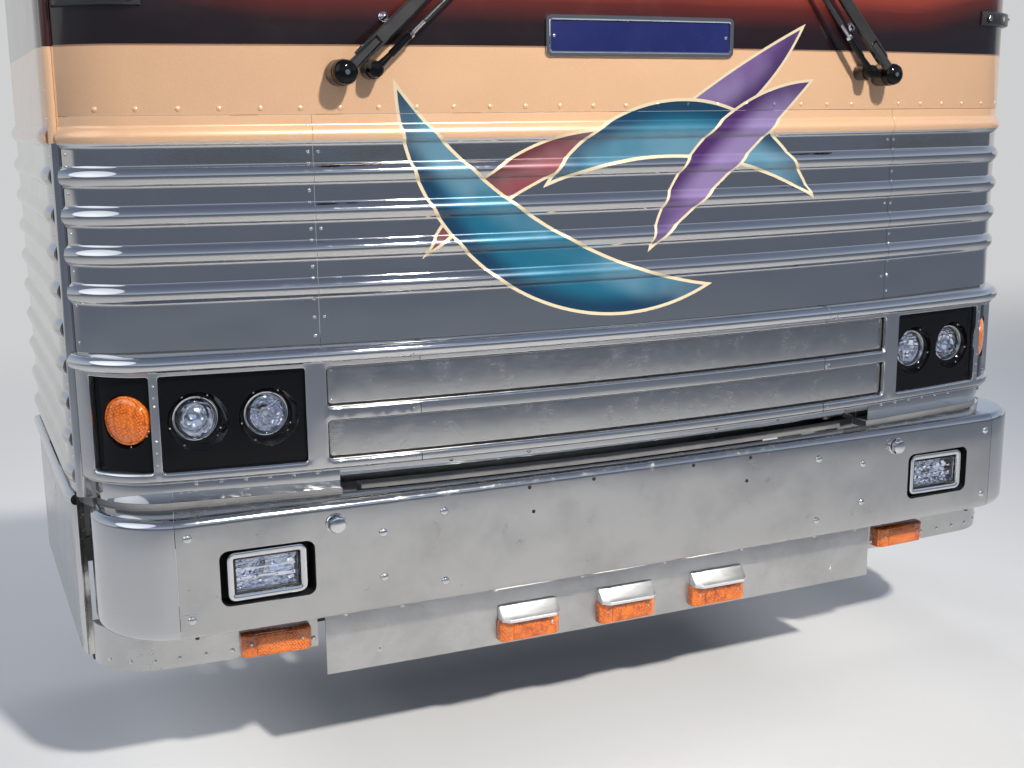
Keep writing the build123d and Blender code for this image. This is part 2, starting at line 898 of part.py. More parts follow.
def marker_lens(width, tall, thick):
    """An amber block with rounded ends, its back at the origin, facing the front."""
    with BuildPart() as lens:
        with BuildSketch(Plane(origin=(0, 0, 0), x_dir=(1, 0, 0), z_dir=(0, -1, 0))):
            RectangleRounded(width, tall, 8)
        extrude(amount=thick, taper=10)
    return lens.part


def markers():
    with BuildPart() as centre:
        for x in marker_x:
            back = bumper.y_at(max(0, abs(x) - marker_width / 2), valance_inset) - seat
            with Locations((x, back, up(marker_height))):
                add(marker_lens(marker_width, marker_tall, marker_thick))
    save(centre.part, "centre_markers")
    with BuildPart() as hoods:
        for x in marker_x:
            low = marker_height + marker_tall / 2 + seat
            y = bumper.y_at(max(0, abs(x) - marker_width / 2), valance_inset) - seat
            with BuildSketch(Plane(origin=(x - marker_width / 2 + 4, 0, 0), x_dir=(0, 1, 0), z_dir=(1, 0, 0))):
                with BuildLine():
                    Polyline(
                        (y, up(low)),
                        (y, up(low + hood_height)),
                        (y - 8, up(low + hood_height)),
                        (y - hood_depth, up(low + 8)),
                        (y - hood_depth, up(low)),
                        (y, up(low)),
                    )
                make_face()
            extrude(amount=marker_width - 8)
    save(hoods.part, "marker_hoods")
    turn = degrees(skirt.angle(skirt.at_x(outer_marker_x)))
    y = skirt.y_at(outer_marker_x, -seat)
    with BuildPart() as outer:
        with Locations(Location((outer_marker_x, y, up(outer_marker_height)), (0, 0, turn))):
            add(marker_lens(marker_width, marker_tall, marker_thick))
    save(with_mirror(outer.part), "outer_markers")


def tow_caps():
    y = bumper.y_at(tow_cap_x - tow_cap_radius)
    with BuildPart() as cap:
        with Locations(Location((tow_cap_x, y - seat, up(tow_cap_height)), (90, 0, 0))):
            Cylinder(tow_cap_radius, tow_cap_proud, align=(Align.CENTER, Align.CENTER, Align.MIN))
        fillet(cap.edges().filter_by(GeomType.CIRCLE).sort_by(Axis.Y)[0], 5)
    save(with_mirror(cap.part), "tow_caps")


# Things on the painted panel
def name_plate():
    reach = body.at_x(plate_half)
    plate = swept(body, -reach, reach, lambda: band(plate_low, plate_high, plate_thick, -seat))
    save(plate, "name_plate")


def mirror_feet():
    foot = swept(
        body,
        body.at_x(mirror_foot_x),
        body.at_back(mirror_foot_back),
        lambda: band(mirror_foot_low, mirror_foot_high, mirror_foot_proud, -seat),
    )
    save(with_mirror(foot), "mirror_feet")


def wiper_spindles():
    """Flanged bosses on the painted panel, each with a spindle in front and a shaft through the panel."""
    back = face + motor_back()
    with BuildPart() as bosses:
        for inward, rise, flange, pin in ((0, 0, spindle_flange, spindle_radius), (link_in, link_up, 20, 7)):
            x = pivot_x - inward
            panel = body.y_at(x - flange) - seat
            place = Plane(origin=(x, panel, up(pivot_height + rise)), x_dir=(1, 0, 0), z_dir=(0, -1, 0))
            front = panel - hub_back()
            with BuildSketch(place):
                Circle(flange)
            extrude(amount=front - 1)
            with BuildSketch(place):
                Circle(pin)
            extrude(amount=front + 18)
            with BuildSketch(place):
                Circle(shaft_radius)
            extrude(amount=panel - back)
    save(with_mirror(bosses.part), "wiper_spindles")


def motor_back():
    """Depth of the front of the wiper motors, behind the hoops' reach at the pivots."""
    return body.y_at(pivot_x) - face + skin + 30


def hub_back():
    """Depth coordinate of the back of the wiper hubs."""
    return body.y_at(pivot_x) - arm_proud + hub_depth


def wiper_motors():
    front = face + motor_back() + seat
    with BuildPart() as motors:
        for inward, rise, radius in ((0, 0, motor_radius), (link_in, link_up, 18)):
            place = Plane(
                origin=(pivot_x - inward, front, up(pivot_height + rise)), x_dir=(1, 0, 0), z_dir=(0, 1, 0)
            )
            with BuildSketch(place):
                Circle(radius)
            extrude(amount=motor_length if inward == 0 else 20)
        with Locations((pivot_x - link_in / 2, front + 12, up(pivot_height))):
            Box(link_in, 16, 24)
    save(with_mirror(motors.part), "wiper_motors")


def wiper(side):
    """Arm, link and blade of one wiper, as parked, with the blade upright."""
    sign = -1 if side == "left" else 1
    lean = sign * wiper_parked[side]
    back = hub_back()
    pivot = (sign * pivot_x, back, up(pivot_height))
    second = (sign * (pivot_x - link_in), back, up(pivot_height + link_up))
    upright = Plane(origin=(0, 0, 0), x_dir=(1, 0, 0), z_dir=(0, -1, 0))
    arm = arm_solid(upright, hub_radius, arm_width, arm_tip_width, spindle_radius, hub_depth)
    link = arm_solid(upright, link_hub_radius, link_width, link_width, 7, hub_depth - 8)
    for name, part, place in ((f"wiper_arm_{side}", arm, pivot), (f"wiper_link_{side}", link, second)):
        with BuildPart() as placed:
            with Locations(Location(place, (0, -lean, 0))):
                add(part)
        save(placed.part, name)
    blade(side, sign, lean, pivot)


def arm_solid(plane, hub, width, tip_width, bore, depth):
    """An arm that stands straight up from its hub at the origin, its back face on the plane of the origin."""
    with BuildPart() as arm:
        with BuildSketch(plane):
            Circle(hub)
        extrude(amount=depth)
        with BuildSketch(plane):
            with BuildLine():
                Polyline(
                    (-width / 2, 0),
                    (-tip_width / 2, arm_length),
                    (tip_width / 2, arm_length),
                    (width / 2, 0),
                    (-width / 2, 0),
                )
            make_face()
            with Locations((0, arm_length)):
                Circle(tip_radius)
        extrude(amount=arm_depth)
        with BuildSketch(plane):
            Circle(bore + pin_clearance)
        extrude(amount=20, mode=Mode.SUBTRACT)
        clearance = pin_clearance if hub == hub_radius else open_pin_clearance
        with BuildSketch(plane):
            with Locations((0, arm_length)):
                Circle(tip_pin_radius + clearance)
        extrude(amount=arm_depth, mode=Mode.SUBTRACT)
    return arm.part


def blade(side, sign, lean, pivot):
    """Carrier across the tips of the arm and the link, with the upright blade behind it."""
    tip_x = pivot[0] - arm_length * sin(radians(lean))
    tip_z = pivot[2] + arm_length * cos(radians(lean))
    y = pivot[1]
    inner = tip_x - sign * link_in
    front = Plane(origin=(0, y + 1, 0), x_dir=(1, 0, 0), z_dir=(0, 1, 0))
    with BuildPart() as carrier:
        with Locations(((tip_x + inner) / 2, y + 1 + carrier_thick / 2, tip_z + link_up / 2)):
            Box(link_in + carrier_width, carrier_thick, carrier_width + link_up)
        for x, z in ((tip_x, tip_z), (inner, tip_z + link_up)):
            with BuildSketch(Plane(origin=(x, y + 1, z), x_dir=(1, 0, 0), z_dir=(0, -1, 0))):
                Circle(tip_pin_radius)
            extrude(amount=arm_depth + 4)
        middle = tip_x - sign * link_in / 2
        with Locations((middle, y + 1 + carrier_thick + blade_depth / 2, tip_z + blade_up)):
            Box(blade_width, blade_depth, blade_length)
    save(carrier.part, f"wiper_blade_{side}")


# Frame behind the skin
def hoop(middle):
    """A flat rib right round the inside of the skin."""
    with BuildPart() as ring:
        with BuildSketch(Plane.XY.offset(up(middle) - hoop_thick / 2)):
            body.region(skin + seat, side_back)
            body.region(skin + hoop_depth, side_back, Mode.SUBTRACT)
        extrude(amount=hoop_thick)
    return ring.part


def low_hoop():
    """The rib under the apron: a cross piece between the rail posts, and one round each corner outside them."""
    high = apron_low - seat
    low = high - hoop_thick
    inner = rail_x + rail_width / 2
    end = lamp_panel.at_x(inner)
    outer = inner + post_size + 2 * seat
    with BuildPart() as ring:
        with BuildSketch(Plane.XY.offset(up(low))):
            lamp_panel.region(apron_inset, strip_back)
            body.region(skin + hoop_depth, strip_back, Mode.SUBTRACT)
            with Locations((0, face)):
                Rectangle(2 * outer, 2 * strip_back, mode=Mode.SUBTRACT)
        extrude(amount=hoop_thick)
        add(swept(body, strip_start, side_end, lambda: band(low, high, -skin, skin + hoop_depth)))
        mirror(about=Plane.YZ)
        add(swept(lamp_panel, -end, end, lambda: band(low, high, -channel_inset, channel_inset + hoop_depth)))
    return ring.part


def posts():
    """Uprights behind the hoops. Columns: distance from the middle, low end, high end."""
    crown = top_hoop + hoop_thick / 2
    foot = mid_hoop - hoop_thick / 2
    table = (
        (0.0, foot, crown),
        (400.0, foot, crown),
        (900.0, foot, crown),
        (rail_x + rail_width / 2 + seat + post_size / 2, rear_post_low + beam_drop, rail_post_top),
    )
    with BuildPart() as uprights:
        for x, low, high in table:
            y = body.y_at(x + post_size / 2, skin + hoop_depth + seat) + post_size / 2
            for side in (-1, 1) if x else (1,):
                with Locations((side * x, y, up((low + high) / 2))):
                    Box(post_size, post_size, high - low)
    save(uprights.part, "posts")


def hoops():
    with BuildPart() as rings:
        add(hoop(mid_hoop))
        add(hoop(top_hoop))
        add(low_hoop())
    save(rings.part, "hoops")


def cross_beams():
    low, high = rear_post_low, rear_post_low + beam_drop
    with BuildPart() as beams:
        for front in (cross_front, side_back - rear_gap - cross_width):
            reach = body.point(body.at_back(front - skin), skin + seat)[0]
            with Locations((0, face + front + cross_width / 2, up((low + high) / 2))):
                Box(2 * reach, cross_width, high - low)
    save(beams.part, "cross_beams")
    post_x = half_width - skin - hoop_depth - seat - rear_post / 2
    tall = painted_top - high
    with BuildPart() as uprights:
        for side in (-1, 1):
            with Locations((side * post_x, face + side_back - rear_gap - rear_post / 2, up(high + tall / 2))):
                Box(rear_post, rear_post, tall)
    save(uprights.part, "rear_posts")


def chassis_rails():
    low = rear_post_low + beam_drop
    length = skin_to_mount - rail_front
    with BuildPart() as rail:
        with Locations((rail_x, face + rail_front + length / 2, up(low + rail_height / 2))):
            Box(rail_width, length, rail_height)
        with Locations((rail_x, -end_plate_thick / 2, 0)):
            Box(end_plate_width, end_plate_thick, end_plate_height)
        for rise in (-bolt_rise, bolt_rise):
            with Locations(Location((rail_x, 0, rise), (90, 0, 0))):
                Cylinder(bolt_radius, 4 * end_plate_thick, mode=Mode.SUBTRACT)
    save(with_mirror(rail.part), "chassis_rails")


def spare_tray():
    depth = side_back - rear_gap - cross_front
    low = rear_post_low + beam_drop + seat
    with BuildPart() as tray:
        with Locations((0, face + cross_front + depth / 2, up((low + bay_high) / 2))):
            Box(2 * bay_half, depth, bay_high - low)
        with Locations((0, face + cross_front + depth / 2 - bay_wall, up((low + bay_high) / 2))):
            Box(2 * (bay_half - bay_wall), depth, bay_high - low - 2 * bay_wall, mode=Mode.SUBTRACT)
    save(tray.part, "spare_tray")


fluted_panels()
painted_panel()
sill_rubber()
side_panels()
side_skirts()
bead()
bars()
centre_panels()
aprons()
lamp_frames()
lamps()
lamp_buckets()
bumper_cover()
bumper_beam()
hinge_brackets()
fog_lamps()
valance()
skirts()
markers()
tow_caps()
name_plate()
mirror_feet()
wiper_spindles()
wiper_motors()
for side in wiper_parked:
    wiper(side)
hoops()
posts()
cross_beams()
chassis_rails()
spare_tray()
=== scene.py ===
"""Looks of the motorhome front end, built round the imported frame. Metres, in the row frame."""

import bpy
import bmesh
from math import acos, asin, atan2, cos, degrees, exp, hypot, log1p, pi, radians, sin, sqrt
from mathutils import Matrix, Vector
from mathutils.geometry import delaunay_2d_cdt


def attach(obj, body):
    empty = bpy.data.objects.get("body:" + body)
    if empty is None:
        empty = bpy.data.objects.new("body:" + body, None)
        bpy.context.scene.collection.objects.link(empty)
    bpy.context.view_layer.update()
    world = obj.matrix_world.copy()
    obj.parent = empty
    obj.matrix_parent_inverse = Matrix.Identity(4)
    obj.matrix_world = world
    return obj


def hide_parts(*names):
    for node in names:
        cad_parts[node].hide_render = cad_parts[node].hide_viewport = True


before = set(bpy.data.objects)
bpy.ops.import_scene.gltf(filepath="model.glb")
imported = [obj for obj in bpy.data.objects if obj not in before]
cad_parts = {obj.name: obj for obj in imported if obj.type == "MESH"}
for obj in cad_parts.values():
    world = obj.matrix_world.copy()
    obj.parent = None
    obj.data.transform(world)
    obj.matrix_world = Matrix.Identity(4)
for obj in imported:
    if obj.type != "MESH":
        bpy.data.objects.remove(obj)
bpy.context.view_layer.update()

# the road's height in the row frame, and where the face of the body is in the middle
ROAD = -0.48
FACE = -1.15
# thickness of a skin and of a thin sheet, and the gap at which pieces lie against each other
SKIN = 0.012
SHEET = 0.004
SEAT = 0.0003
# a skin's faces that lie deeper than this are its back
LINING = 0.0113
BOTH = (-1, 1)
shift = Matrix.Translation


# Plan lines
class Plan:
    """A line round the body, seen from above. A station is a distance along it from the middle."""

    def __init__(self, front, half, bow, corner):
        self.front, self.half, self.bow, self.corner = front, half, bow, corner
        self.corner_x = half - corner
        self.bow_angle = asin(self.corner_x / (bow - corner))
        self.corner_y = front + bow - sqrt((bow - corner) ** 2 - self.corner_x**2)
        self.bow_end = bow * self.bow_angle
        self.corner_end = self.bow_end + corner * (pi / 2 - self.bow_angle)

    def in_corner(self, angle):
        """Station in the corner where the line has turned by an angle."""
        return self.bow_end + self.corner * (angle - self.bow_angle)

    def at_x(self, x):
        if abs(x) > self.bow * sin(self.bow_angle):
            s = self.in_corner(asin((abs(x) - self.corner_x) / self.corner))
        else:
            s = self.bow * asin(abs(x) / self.bow)
        return s if x >= 0 else -s

    def at_back(self, back):
        y = FACE + back
        if y >= self.corner_y:
            return self.corner_end + y - self.corner_y
        return self.in_corner(acos((self.corner_y - y) / self.corner))

    def angle(self, s):
        a = abs(s)
        if a <= self.bow_end:
            turn = a / self.bow
        else:
            turn = min(pi / 2, self.bow_angle + (a - self.bow_end) / self.corner)
        return turn if s >= 0 else -turn

    def point(self, s, out=0.0):
        a, turn = abs(s), abs(self.angle(s))
        if a <= self.bow_end:
            x = (self.bow + out) * sin(turn)
            y = self.front + self.bow - (self.bow + out) * cos(turn)
        else:
            r = self.corner + out
            x = self.corner_x + r * sin(turn)
            y = self.corner_y - r * cos(turn) + max(0.0, a - self.corner_end)
        return (x if s >= 0 else -x), y

    def at(self, s, out, height):
        """Point in space at a station, standing out of the line, at a height above the road."""
        x, y = self.point(s, out)
        return Vector((x, y, ROAD + height))

    def y_at(self, x, inset=0.0):
        return self.front + self.bow - sqrt((self.bow - inset) ** 2 - x * x)

    def stops(self, start, end, step=0.05):
        """Stations from start to end, closer together round the corners, one for each 3 degrees."""
        changes = (-self.corner_end, -self.bow_end, self.bow_end, self.corner_end)
        marks = sorted([start, end] + [m for m in changes if start < m < end])
        found = []
        for a, b in zip(marks, marks[1:]):
            in_corner = self.bow_end < abs(a + b) / 2 < self.corner_end
            pitch = radians(3.0) * self.corner if in_corner else step
            n = max(1, int((b - a) / pitch + 0.999))
            found += [a + (b - a) * i / n for i in range(n)]
        return found + [end]

    def inset_of(self, x, y):
        """How far a point lies inside the line."""
        x = abs(x)
        cx, cy = x - self.corner_x, y - self.corner_y
        if cx > 0 and cy > 0:
            return self.half - x
        if cx > 0 and atan2(cx, -cy) > self.bow_angle:
            return self.corner - hypot(cx, cy)
        return self.bow - hypot(x, y - self.front - self.bow)

    def depth_to(self, s, other, inset=0.0):
        """How far in from this line, at a station, another line set in by an amount is met, within 150 mm."""
        low, high = 0.0, 0.15
        for _ in range(24):
            middle = (low + high) / 2
            if other.inset_of(*self.point(s, -middle)) < inset:
                low = middle
            else:
                high = middle
        return low


body = Plan(front=FACE, half=1.305, bow=5.8, corner=0.2)
lower = Plan(front=FACE - 0.012, half=1.295, bow=7.4, corner=0.2)
bumper = Plan(front=FACE - 0.032, half=1.281, bow=32.68, corner=0.18)
skirt = Plan(front=FACE + 0.078, half=1.29, bow=20.0, corner=0.15)


def bevelled(obj, width):
    mod = obj.modifiers.new("edges", "BEVEL")
    mod.width = width
    mod.segments = 2
    mod.limit_method = "ANGLE"
    mod.angle_limit = radians(40)
    mod.harden_normals = True


# Mesh building
class Build:
    """Collects faces for one piece."""

    def __init__(self):
        self.v, self.f, self.m = [], [], []

    def add(self, verts, faces, mat=0):
        base = len(self.v)
        self.v += [Vector(v) for v in verts]
        self.f += [[base + i for i in f] for f in faces]
        self.m += [mat] * len(faces)
        return self

    def rows(self, rows, mat=0, loop=True, caps=True, ring=False):
        """Faces between rows of points. loop closes each row, and ring closes the last row to the first."""
        n, k = len(rows), len(rows[0])
        faces = []
        for i in range(n if ring else n - 1):
            j = (i + 1) % n
            for a in range(k if loop else k - 1):
                b = (a + 1) % k
                faces.append([i * k + a, i * k + b, j * k + b, j * k + a])
        if caps and loop and not ring:
            faces.append(list(range(k)))
            faces.append([(n - 1) * k + a for a in reversed(range(k))])
        return self.add([p for row in rows for p in row], faces, mat)

    def closed(self, rows, mat=0):
        """Rows without a cap at the first one, with a cap at the last one."""
        self.rows(rows, mat, caps=False)
        return self.add(rows[-1], [list(range(len(rows[-1])))], mat)

    def mirrored(self):
        """Adds the mirror image across the middle."""
        base = len(self.v)
        self.v += [Vector((-v.x, v.y, v.z)) for v in self.v[:base]]
        n = len(self.f)
        self.f += [[base + i for i in reversed(f)] for f in self.f[:n]]
        self.m += self.m[:n]
        return self

    def lined(self, plan):
        """Gives the second material to the faces at the back of a skin on a plan line."""
        for i, f in enumerate(self.f):
            c = sum((self.v[k] for k in f), Vector()) / len(f)
            if plan.inset_of(c.x, c.y) > LINING:
                self.m[i] = 1
        return self

    def moved(self, matrix):
        self.v = [matrix @ v for v in self.v]
        return self

    def join(self, other, matrix=None, mat=None):
        self.add(other.v if matrix is None else [matrix @ v for v in other.v], other.f)
        self.m[-len(other.f):] = other.m if mat is None else [mat] * len(other.f)
        return self

    def done(self, name, mats, ride, slot, replaces=(), sharp=32, bevel=0.0, clean=True, fix=True):
        mesh = bpy.data.meshes.new(name)
        mesh.from_pydata([tuple(v) for v in self.v], [], self.f)
        mesh.update()
        for material in mats if isinstance(mats, (list, tuple)) else [mats]:
            mesh.materials.append(material)
        mesh.polygons.foreach_set("material_index", self.m)
        bm = bmesh.new()
        bm.from_mesh(mesh)
        if clean:
            bmesh.ops.remove_doubles(bm, verts=bm.verts, dist=1e-6)
        if fix:
            bmesh.ops.recalc_face_normals(bm, faces=bm.faces)
        bm.to_mesh(mesh)
        bm.free()
        mesh.shade_smooth()
        mesh.set_sharp_from_angle(angle=radians(sharp))
        obj = bpy.data.objects.new(name, mesh)
        bpy.context.scene.collection.objects.link(obj)
        if bevel:
            bevelled(obj, bevel)
        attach(obj, ride)
        if replaces:
            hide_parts(*replaces)
        return obj


def span(n):
    """Numbers from -1 to 1, n steps apart."""
    return [-1 + 2 * i / n for i in range(n + 1)]


def arc(cx, cy, r, a0, a1, n):
    turns = [radians(a0 + (a1 - a0) * i / n) for i in range(n + 1)]
    return [(cx + r * cos(a), cy + r * sin(a)) for a in turns]


def rounded(points, radii, n=5):
    """A closed outline with its corners rounded. radii is one size or one for each corner."""
    if not hasattr(radii, "__len__"):
        radii = [radii] * len(points)
    out = []
    for i, (p, r) in enumerate(zip(points, radii)):
        a, b = Vector(points[i - 1]), Vector(points[(i + 1) % len(points)])
        p = Vector(p)
        if r <= 0:
            out.append(tuple(p))
            continue
        u, w = (a - p).normalized(), (b - p).normalized()
        half = acos(max(-1, min(1, u.dot(w)))) / 2
        slope = abs(sin(half) / cos(half))
        cut = min(r / max(1e-6, slope), (a - p).length * 0.499, (b - p).length * 0.499)
        size = cut * slope
        centre = p + (u + w).normalized() * hypot(cut, size)
        s, e = p + u * cut - centre, p + w * cut - centre
        a0 = atan2(s.y, s.x)
        turn = (atan2(e.y, e.x) - a0 + pi) % (2 * pi) - pi
        out += arc(centre.x, centre.y, size, degrees(a0), degrees(a0 + turn), n)
    return out


def rect(w, h, r, n=6, cx=0.0, cy=0.0):
    w, h = w / 2, h / 2
    return rounded([(cx - w, cy - h), (cx + w, cy - h), (cx + w, cy + h), (cx - w, cy + h)], r, n)


def mm(*points):
    """Points given in millimetres."""
    return [tuple(v / 1000 for v in p) for p in points]


def circle(r, n=48, cx=0.0, cy=0.0):
    return arc(cx, cy, r, 0, 360, n)[:-1]


def polar(r, angle, z):
    """Point at a radius and an angle in degrees."""
    return Vector((r * cos(radians(angle)), r * sin(radians(angle)), z))


def sweep(build, plan, start, end, section, mat=0):
    """Runs a section of (out, height) points round a plan line."""
    return build.rows([[plan.at(s, o, h) for o, h in section] for s in plan.stops(start, end)], mat)


def block(low, high, out, back):
    """Section: a rectangle, from the foot of its outer side up, in and down."""
    return [(out, low), (out, high), (-back, high), (-back, low)]


def band(low, high, out, back, r):
    return rounded(block(low, high, out, back), r, 2)


def rail_section(low, high, proud, base):
    """Section: a rail with a rounded nose and small feet."""
    r, middle = (high - low) / 2, (high + low) / 2
    return [(base, low)] + arc(proud - r, middle, r, -90, 90, 20) + [(base, high)]


def inside(p, poly):
    hit = False
    for (x1, y1), (x2, y2) in zip(poly, poly[1:] + poly[:1]):
        if (y1 > p[1]) != (y2 > p[1]) and p[0] < (x2 - x1) * (p[1] - y1) / (y2 - y1) + x1:
            hit = not hit
    return hit


def divided(poly, step, more=0.999):
    """A closed outline with its long edges cut into pieces of step, or not under step if more is 0."""
    out = []
    for (x0, y0), (x1, y1) in zip(poly, poly[1:] + poly[:1]):
        n = max(1, int(hypot(x1 - x0, y1 - y0) / step + more))
        out += [(x0 + (x1 - x0) * i / n, y0 + (y1 - y0) * i / n) for i in range(n)]
    return out


def filled(outline, holes, step):
    """Points and triangles that fill an outline with holes, the points no further apart than step."""
    pts, edges = [], []
    for poly in [outline] + holes:
        base = len(pts)
        pts += [Vector(p) for p in poly]
        edges += [(base + i, base + (i + 1) % len(poly)) for i in range(len(poly))]
    fixed = list(pts)
    xs, ys = [p[0] for p in outline], [p[1] for p in outline]
    wide, tall = max(xs) - min(xs), max(ys) - min(ys)
    nx = max(1, int(wide / step))
    ny = max(1, int(tall / (step * 1.3)))
    for i in range(1, nx):
        for j in range(1, ny):
            p = (min(xs) + wide * i / nx, min(ys) + tall * j / ny)
            if inside(p, outline) and not any(inside(p, h) for h in holes):
                if all((Vector(p) - q).length > step * 0.3 for q in fixed):
                    pts.append(Vector(p))
    verts, _, tris, *_ = delaunay_2d_cdt(pts, edges, [], 0, 1e-7)
    keep = []
    for t in tris:
        c = sum((verts[i] for i in t), Vector((0, 0))) / len(t)
        if inside(c, outline) and not any(inside(c, h) for h in holes):
            keep.append(list(t))
    return verts, keep


def plate(build, plan, outline, holes, front, back, mat=0, step=0.03):
    """A plate with holes on a plan line. Its outlines are in stations and heights."""
    outline, holes = divided(outline, step), [divided(h, step) for h in holes]
    verts, keep = filled(outline, holes, step)
    n = len(verts)
    top = [plan.at(v.x, front, v.y) for v in verts]
    low = [plan.at(v.x, back, v.y) for v in verts]
    build.add(top + low, keep + [[n + i for i in reversed(t)] for t in keep], mat)
    for poly in [outline] + holes:
        build.rows([[plan.at(s, out, h) for s, h in poly] for out in (front, back)], mat, caps=False)
    return build


def edge_path(points, radii, softs, closed, hole, step=0.03, n=6):
    """Wall of a plate's outline or opening as (a, b, out a, out b, soft), with (out a, out b) off the plate.
    points are its corners, anticlockwise, radii their sizes, softs how wide each side is rounded."""
    count = len(points)
    found = []
    for i in range(count if closed else count - 1):
        p, q = Vector(points[i]), Vector(points[(i + 1) % count])
        along = (q - p).normalized()
        away = Vector((along.y, -along.x)) * (-1 if hole else 1)
        first = p + along * (radii[i] if closed or i else 0)
        last = q - along * (radii[(i + 1) % count] if closed or i + 1 < count - 1 else 0)
        if found and radii[i]:
            found += corner_points(found[-1], (first, away, softs[i]), p, n)
        pieces = max(1, int((last - first).length / step + 0.999))
        for k in range(pieces + 1):
            at = first + (last - first) * k / pieces
            found.append((at.x, at.y, away.x, away.y, softs[i]))
    if closed and radii[0]:
        first = (Vector(found[0][:2]), Vector(found[0][2:4]), found[0][4])
        found += corner_points(found[-1], first, Vector(points[0]), n)
    return found


def corner_points(before, after, corner, n):
    """Points of the arc between two sides of an edge path, without its ends."""
    start, away0, soft0 = Vector(before[:2]), Vector(before[2:4]), before[4]
    end, away1, soft1 = after
    centre = start + end - corner
    out = []
    for k in range(1, n):
        t = k / n
        near, far = cos(t * pi / 2), sin(t * pi / 2)
        swing = (away0 * near + away1 * far).normalized()
        ray = (start - centre).normalized() * near + (end - centre).normalized() * far
        at = centre + ray * (start - centre).length
        out.append((at.x, at.y, swing.x, swing.y, soft0 + (soft1 - soft0) * t))
    return out


def soft_plate(build, plan, outer, openings, front, depth, step, rings=5):
    """A plate on a plan line, its front edges rounded. outer and openings are edge paths."""
    loops = [outer] + openings
    faces = [[(a - na * r, b - nb * r) for a, b, na, nb, r in loop] for loop in loops]
    walls = [[(a, b) for a, b, *_ in loop] for loop in loops]
    for polys, out, turned in ((faces, 0.0, False), (walls, -depth, True)):
        verts, keep = filled(polys[0], polys[1:], step)
        keep = [t[::-1] for t in keep] if turned else keep
        build.add([plan.at(v.x, front + out, v.y) for v in verts], keep)
    for loop in loops:
        rows = []
        for k in range(rings + 1):
            turn = pi / 2 * k / rings
            inward, down = 1 - sin(turn), 1 - cos(turn)
            row = [(a - na * r * inward, front - r * down, b - nb * r * inward) for a, b, na, nb, r in loop]
            rows.append([plan.at(*spot) for spot in row])
        rows.append([plan.at(a, front - depth, b) for a, b, *_ in loop])
        build.rows(rows, caps=False)
    return build


def facing(origin, turn=0.0):
    """Matrix of a place that looks towards -Y, turned about Z: x to the right, y up, z out of the face."""
    base = Matrix(((1, 0, 0), (0, 0, -1), (0, 1, 0))).to_4x4()
    return shift(origin) @ Matrix.Rotation(turn, 4, "Z") @ base


def on_skin(plan, s, out, height):
    """Matrix of a place on a plan line, looking out of it."""
    return facing(plan.at(s, out, height), plan.angle(s))


def spots(plan, stations, heights, out=0.0):
    """Places on a plan line, at each height one for each station."""
    return [on_skin(plan, s, out, h) for h in heights for s in stations]


def sides(plan, *xs):
    """Stations on both sides of the middle."""
    return [side * plan.at_x(x) for x in xs for side in BOTH]


def lathe(profile, n=48, start=0.0):
    """A profile of (radius, z) points turned about the local z axis."""
    turns = [2 * pi * i / n + start for i in range(n)]
    return Build().rows([[(r * cos(a), r * sin(a), z) for a in turns] for r, z in profile], caps=False)


def dome(r, h, n=14, rings=5, collar=0.0):
    """A rivet or bolt head: a low dome on the local xy plane."""
    profile = [(r + collar, -0.0006), (r + collar, collar * 0.4)] if collar else [(r, -0.0006)]
    turns = [pi / 2 * i / rings for i in range(rings)]
    profile += [(r * cos(a), h * sin(a) + collar * 0.4) for a in turns]
    return lathe(profile + [(0.0001, h + collar * 0.4)], n)


def hexagon(r, h):
    """A nut or bolt head with a bevelled top."""
    levels = ((1, 0), (1, h * 0.82), (0.86, h))
    return Build().rows([[(x * k, y * k, z) for x, y in circle(r, 6)] for k, z in levels])


def tube(points, radius, n=12, closed=False):
    """A round tube along points."""
    pts = [Vector(p) for p in points]
    rows, side = [], None
    for i, p in enumerate(pts):
        a = pts[i - 1] if i or closed else p
        b = pts[(i + 1) % len(pts)] if i + 1 < len(pts) or closed else p
        t = (b - a).normalized()
        if side is None:
            side = t.orthogonal().normalized()
        side = (side - t * side.dot(t)).normalized()
        other = t.cross(side)
        r = radius[i] if hasattr(radius, "__len__") else radius
        rows.append([p + side * x + other * y for x, y in circle(r, n)])
    return Build().rows(rows, ring=closed)


def box_build(w, d, h, r=0.0):
    """A block centred on the origin, its upright edges rounded."""
    return Build().rows([[(x, y, z) for x, y in rect(w, d, r, 3)] for z in (-h / 2, h / 2)])


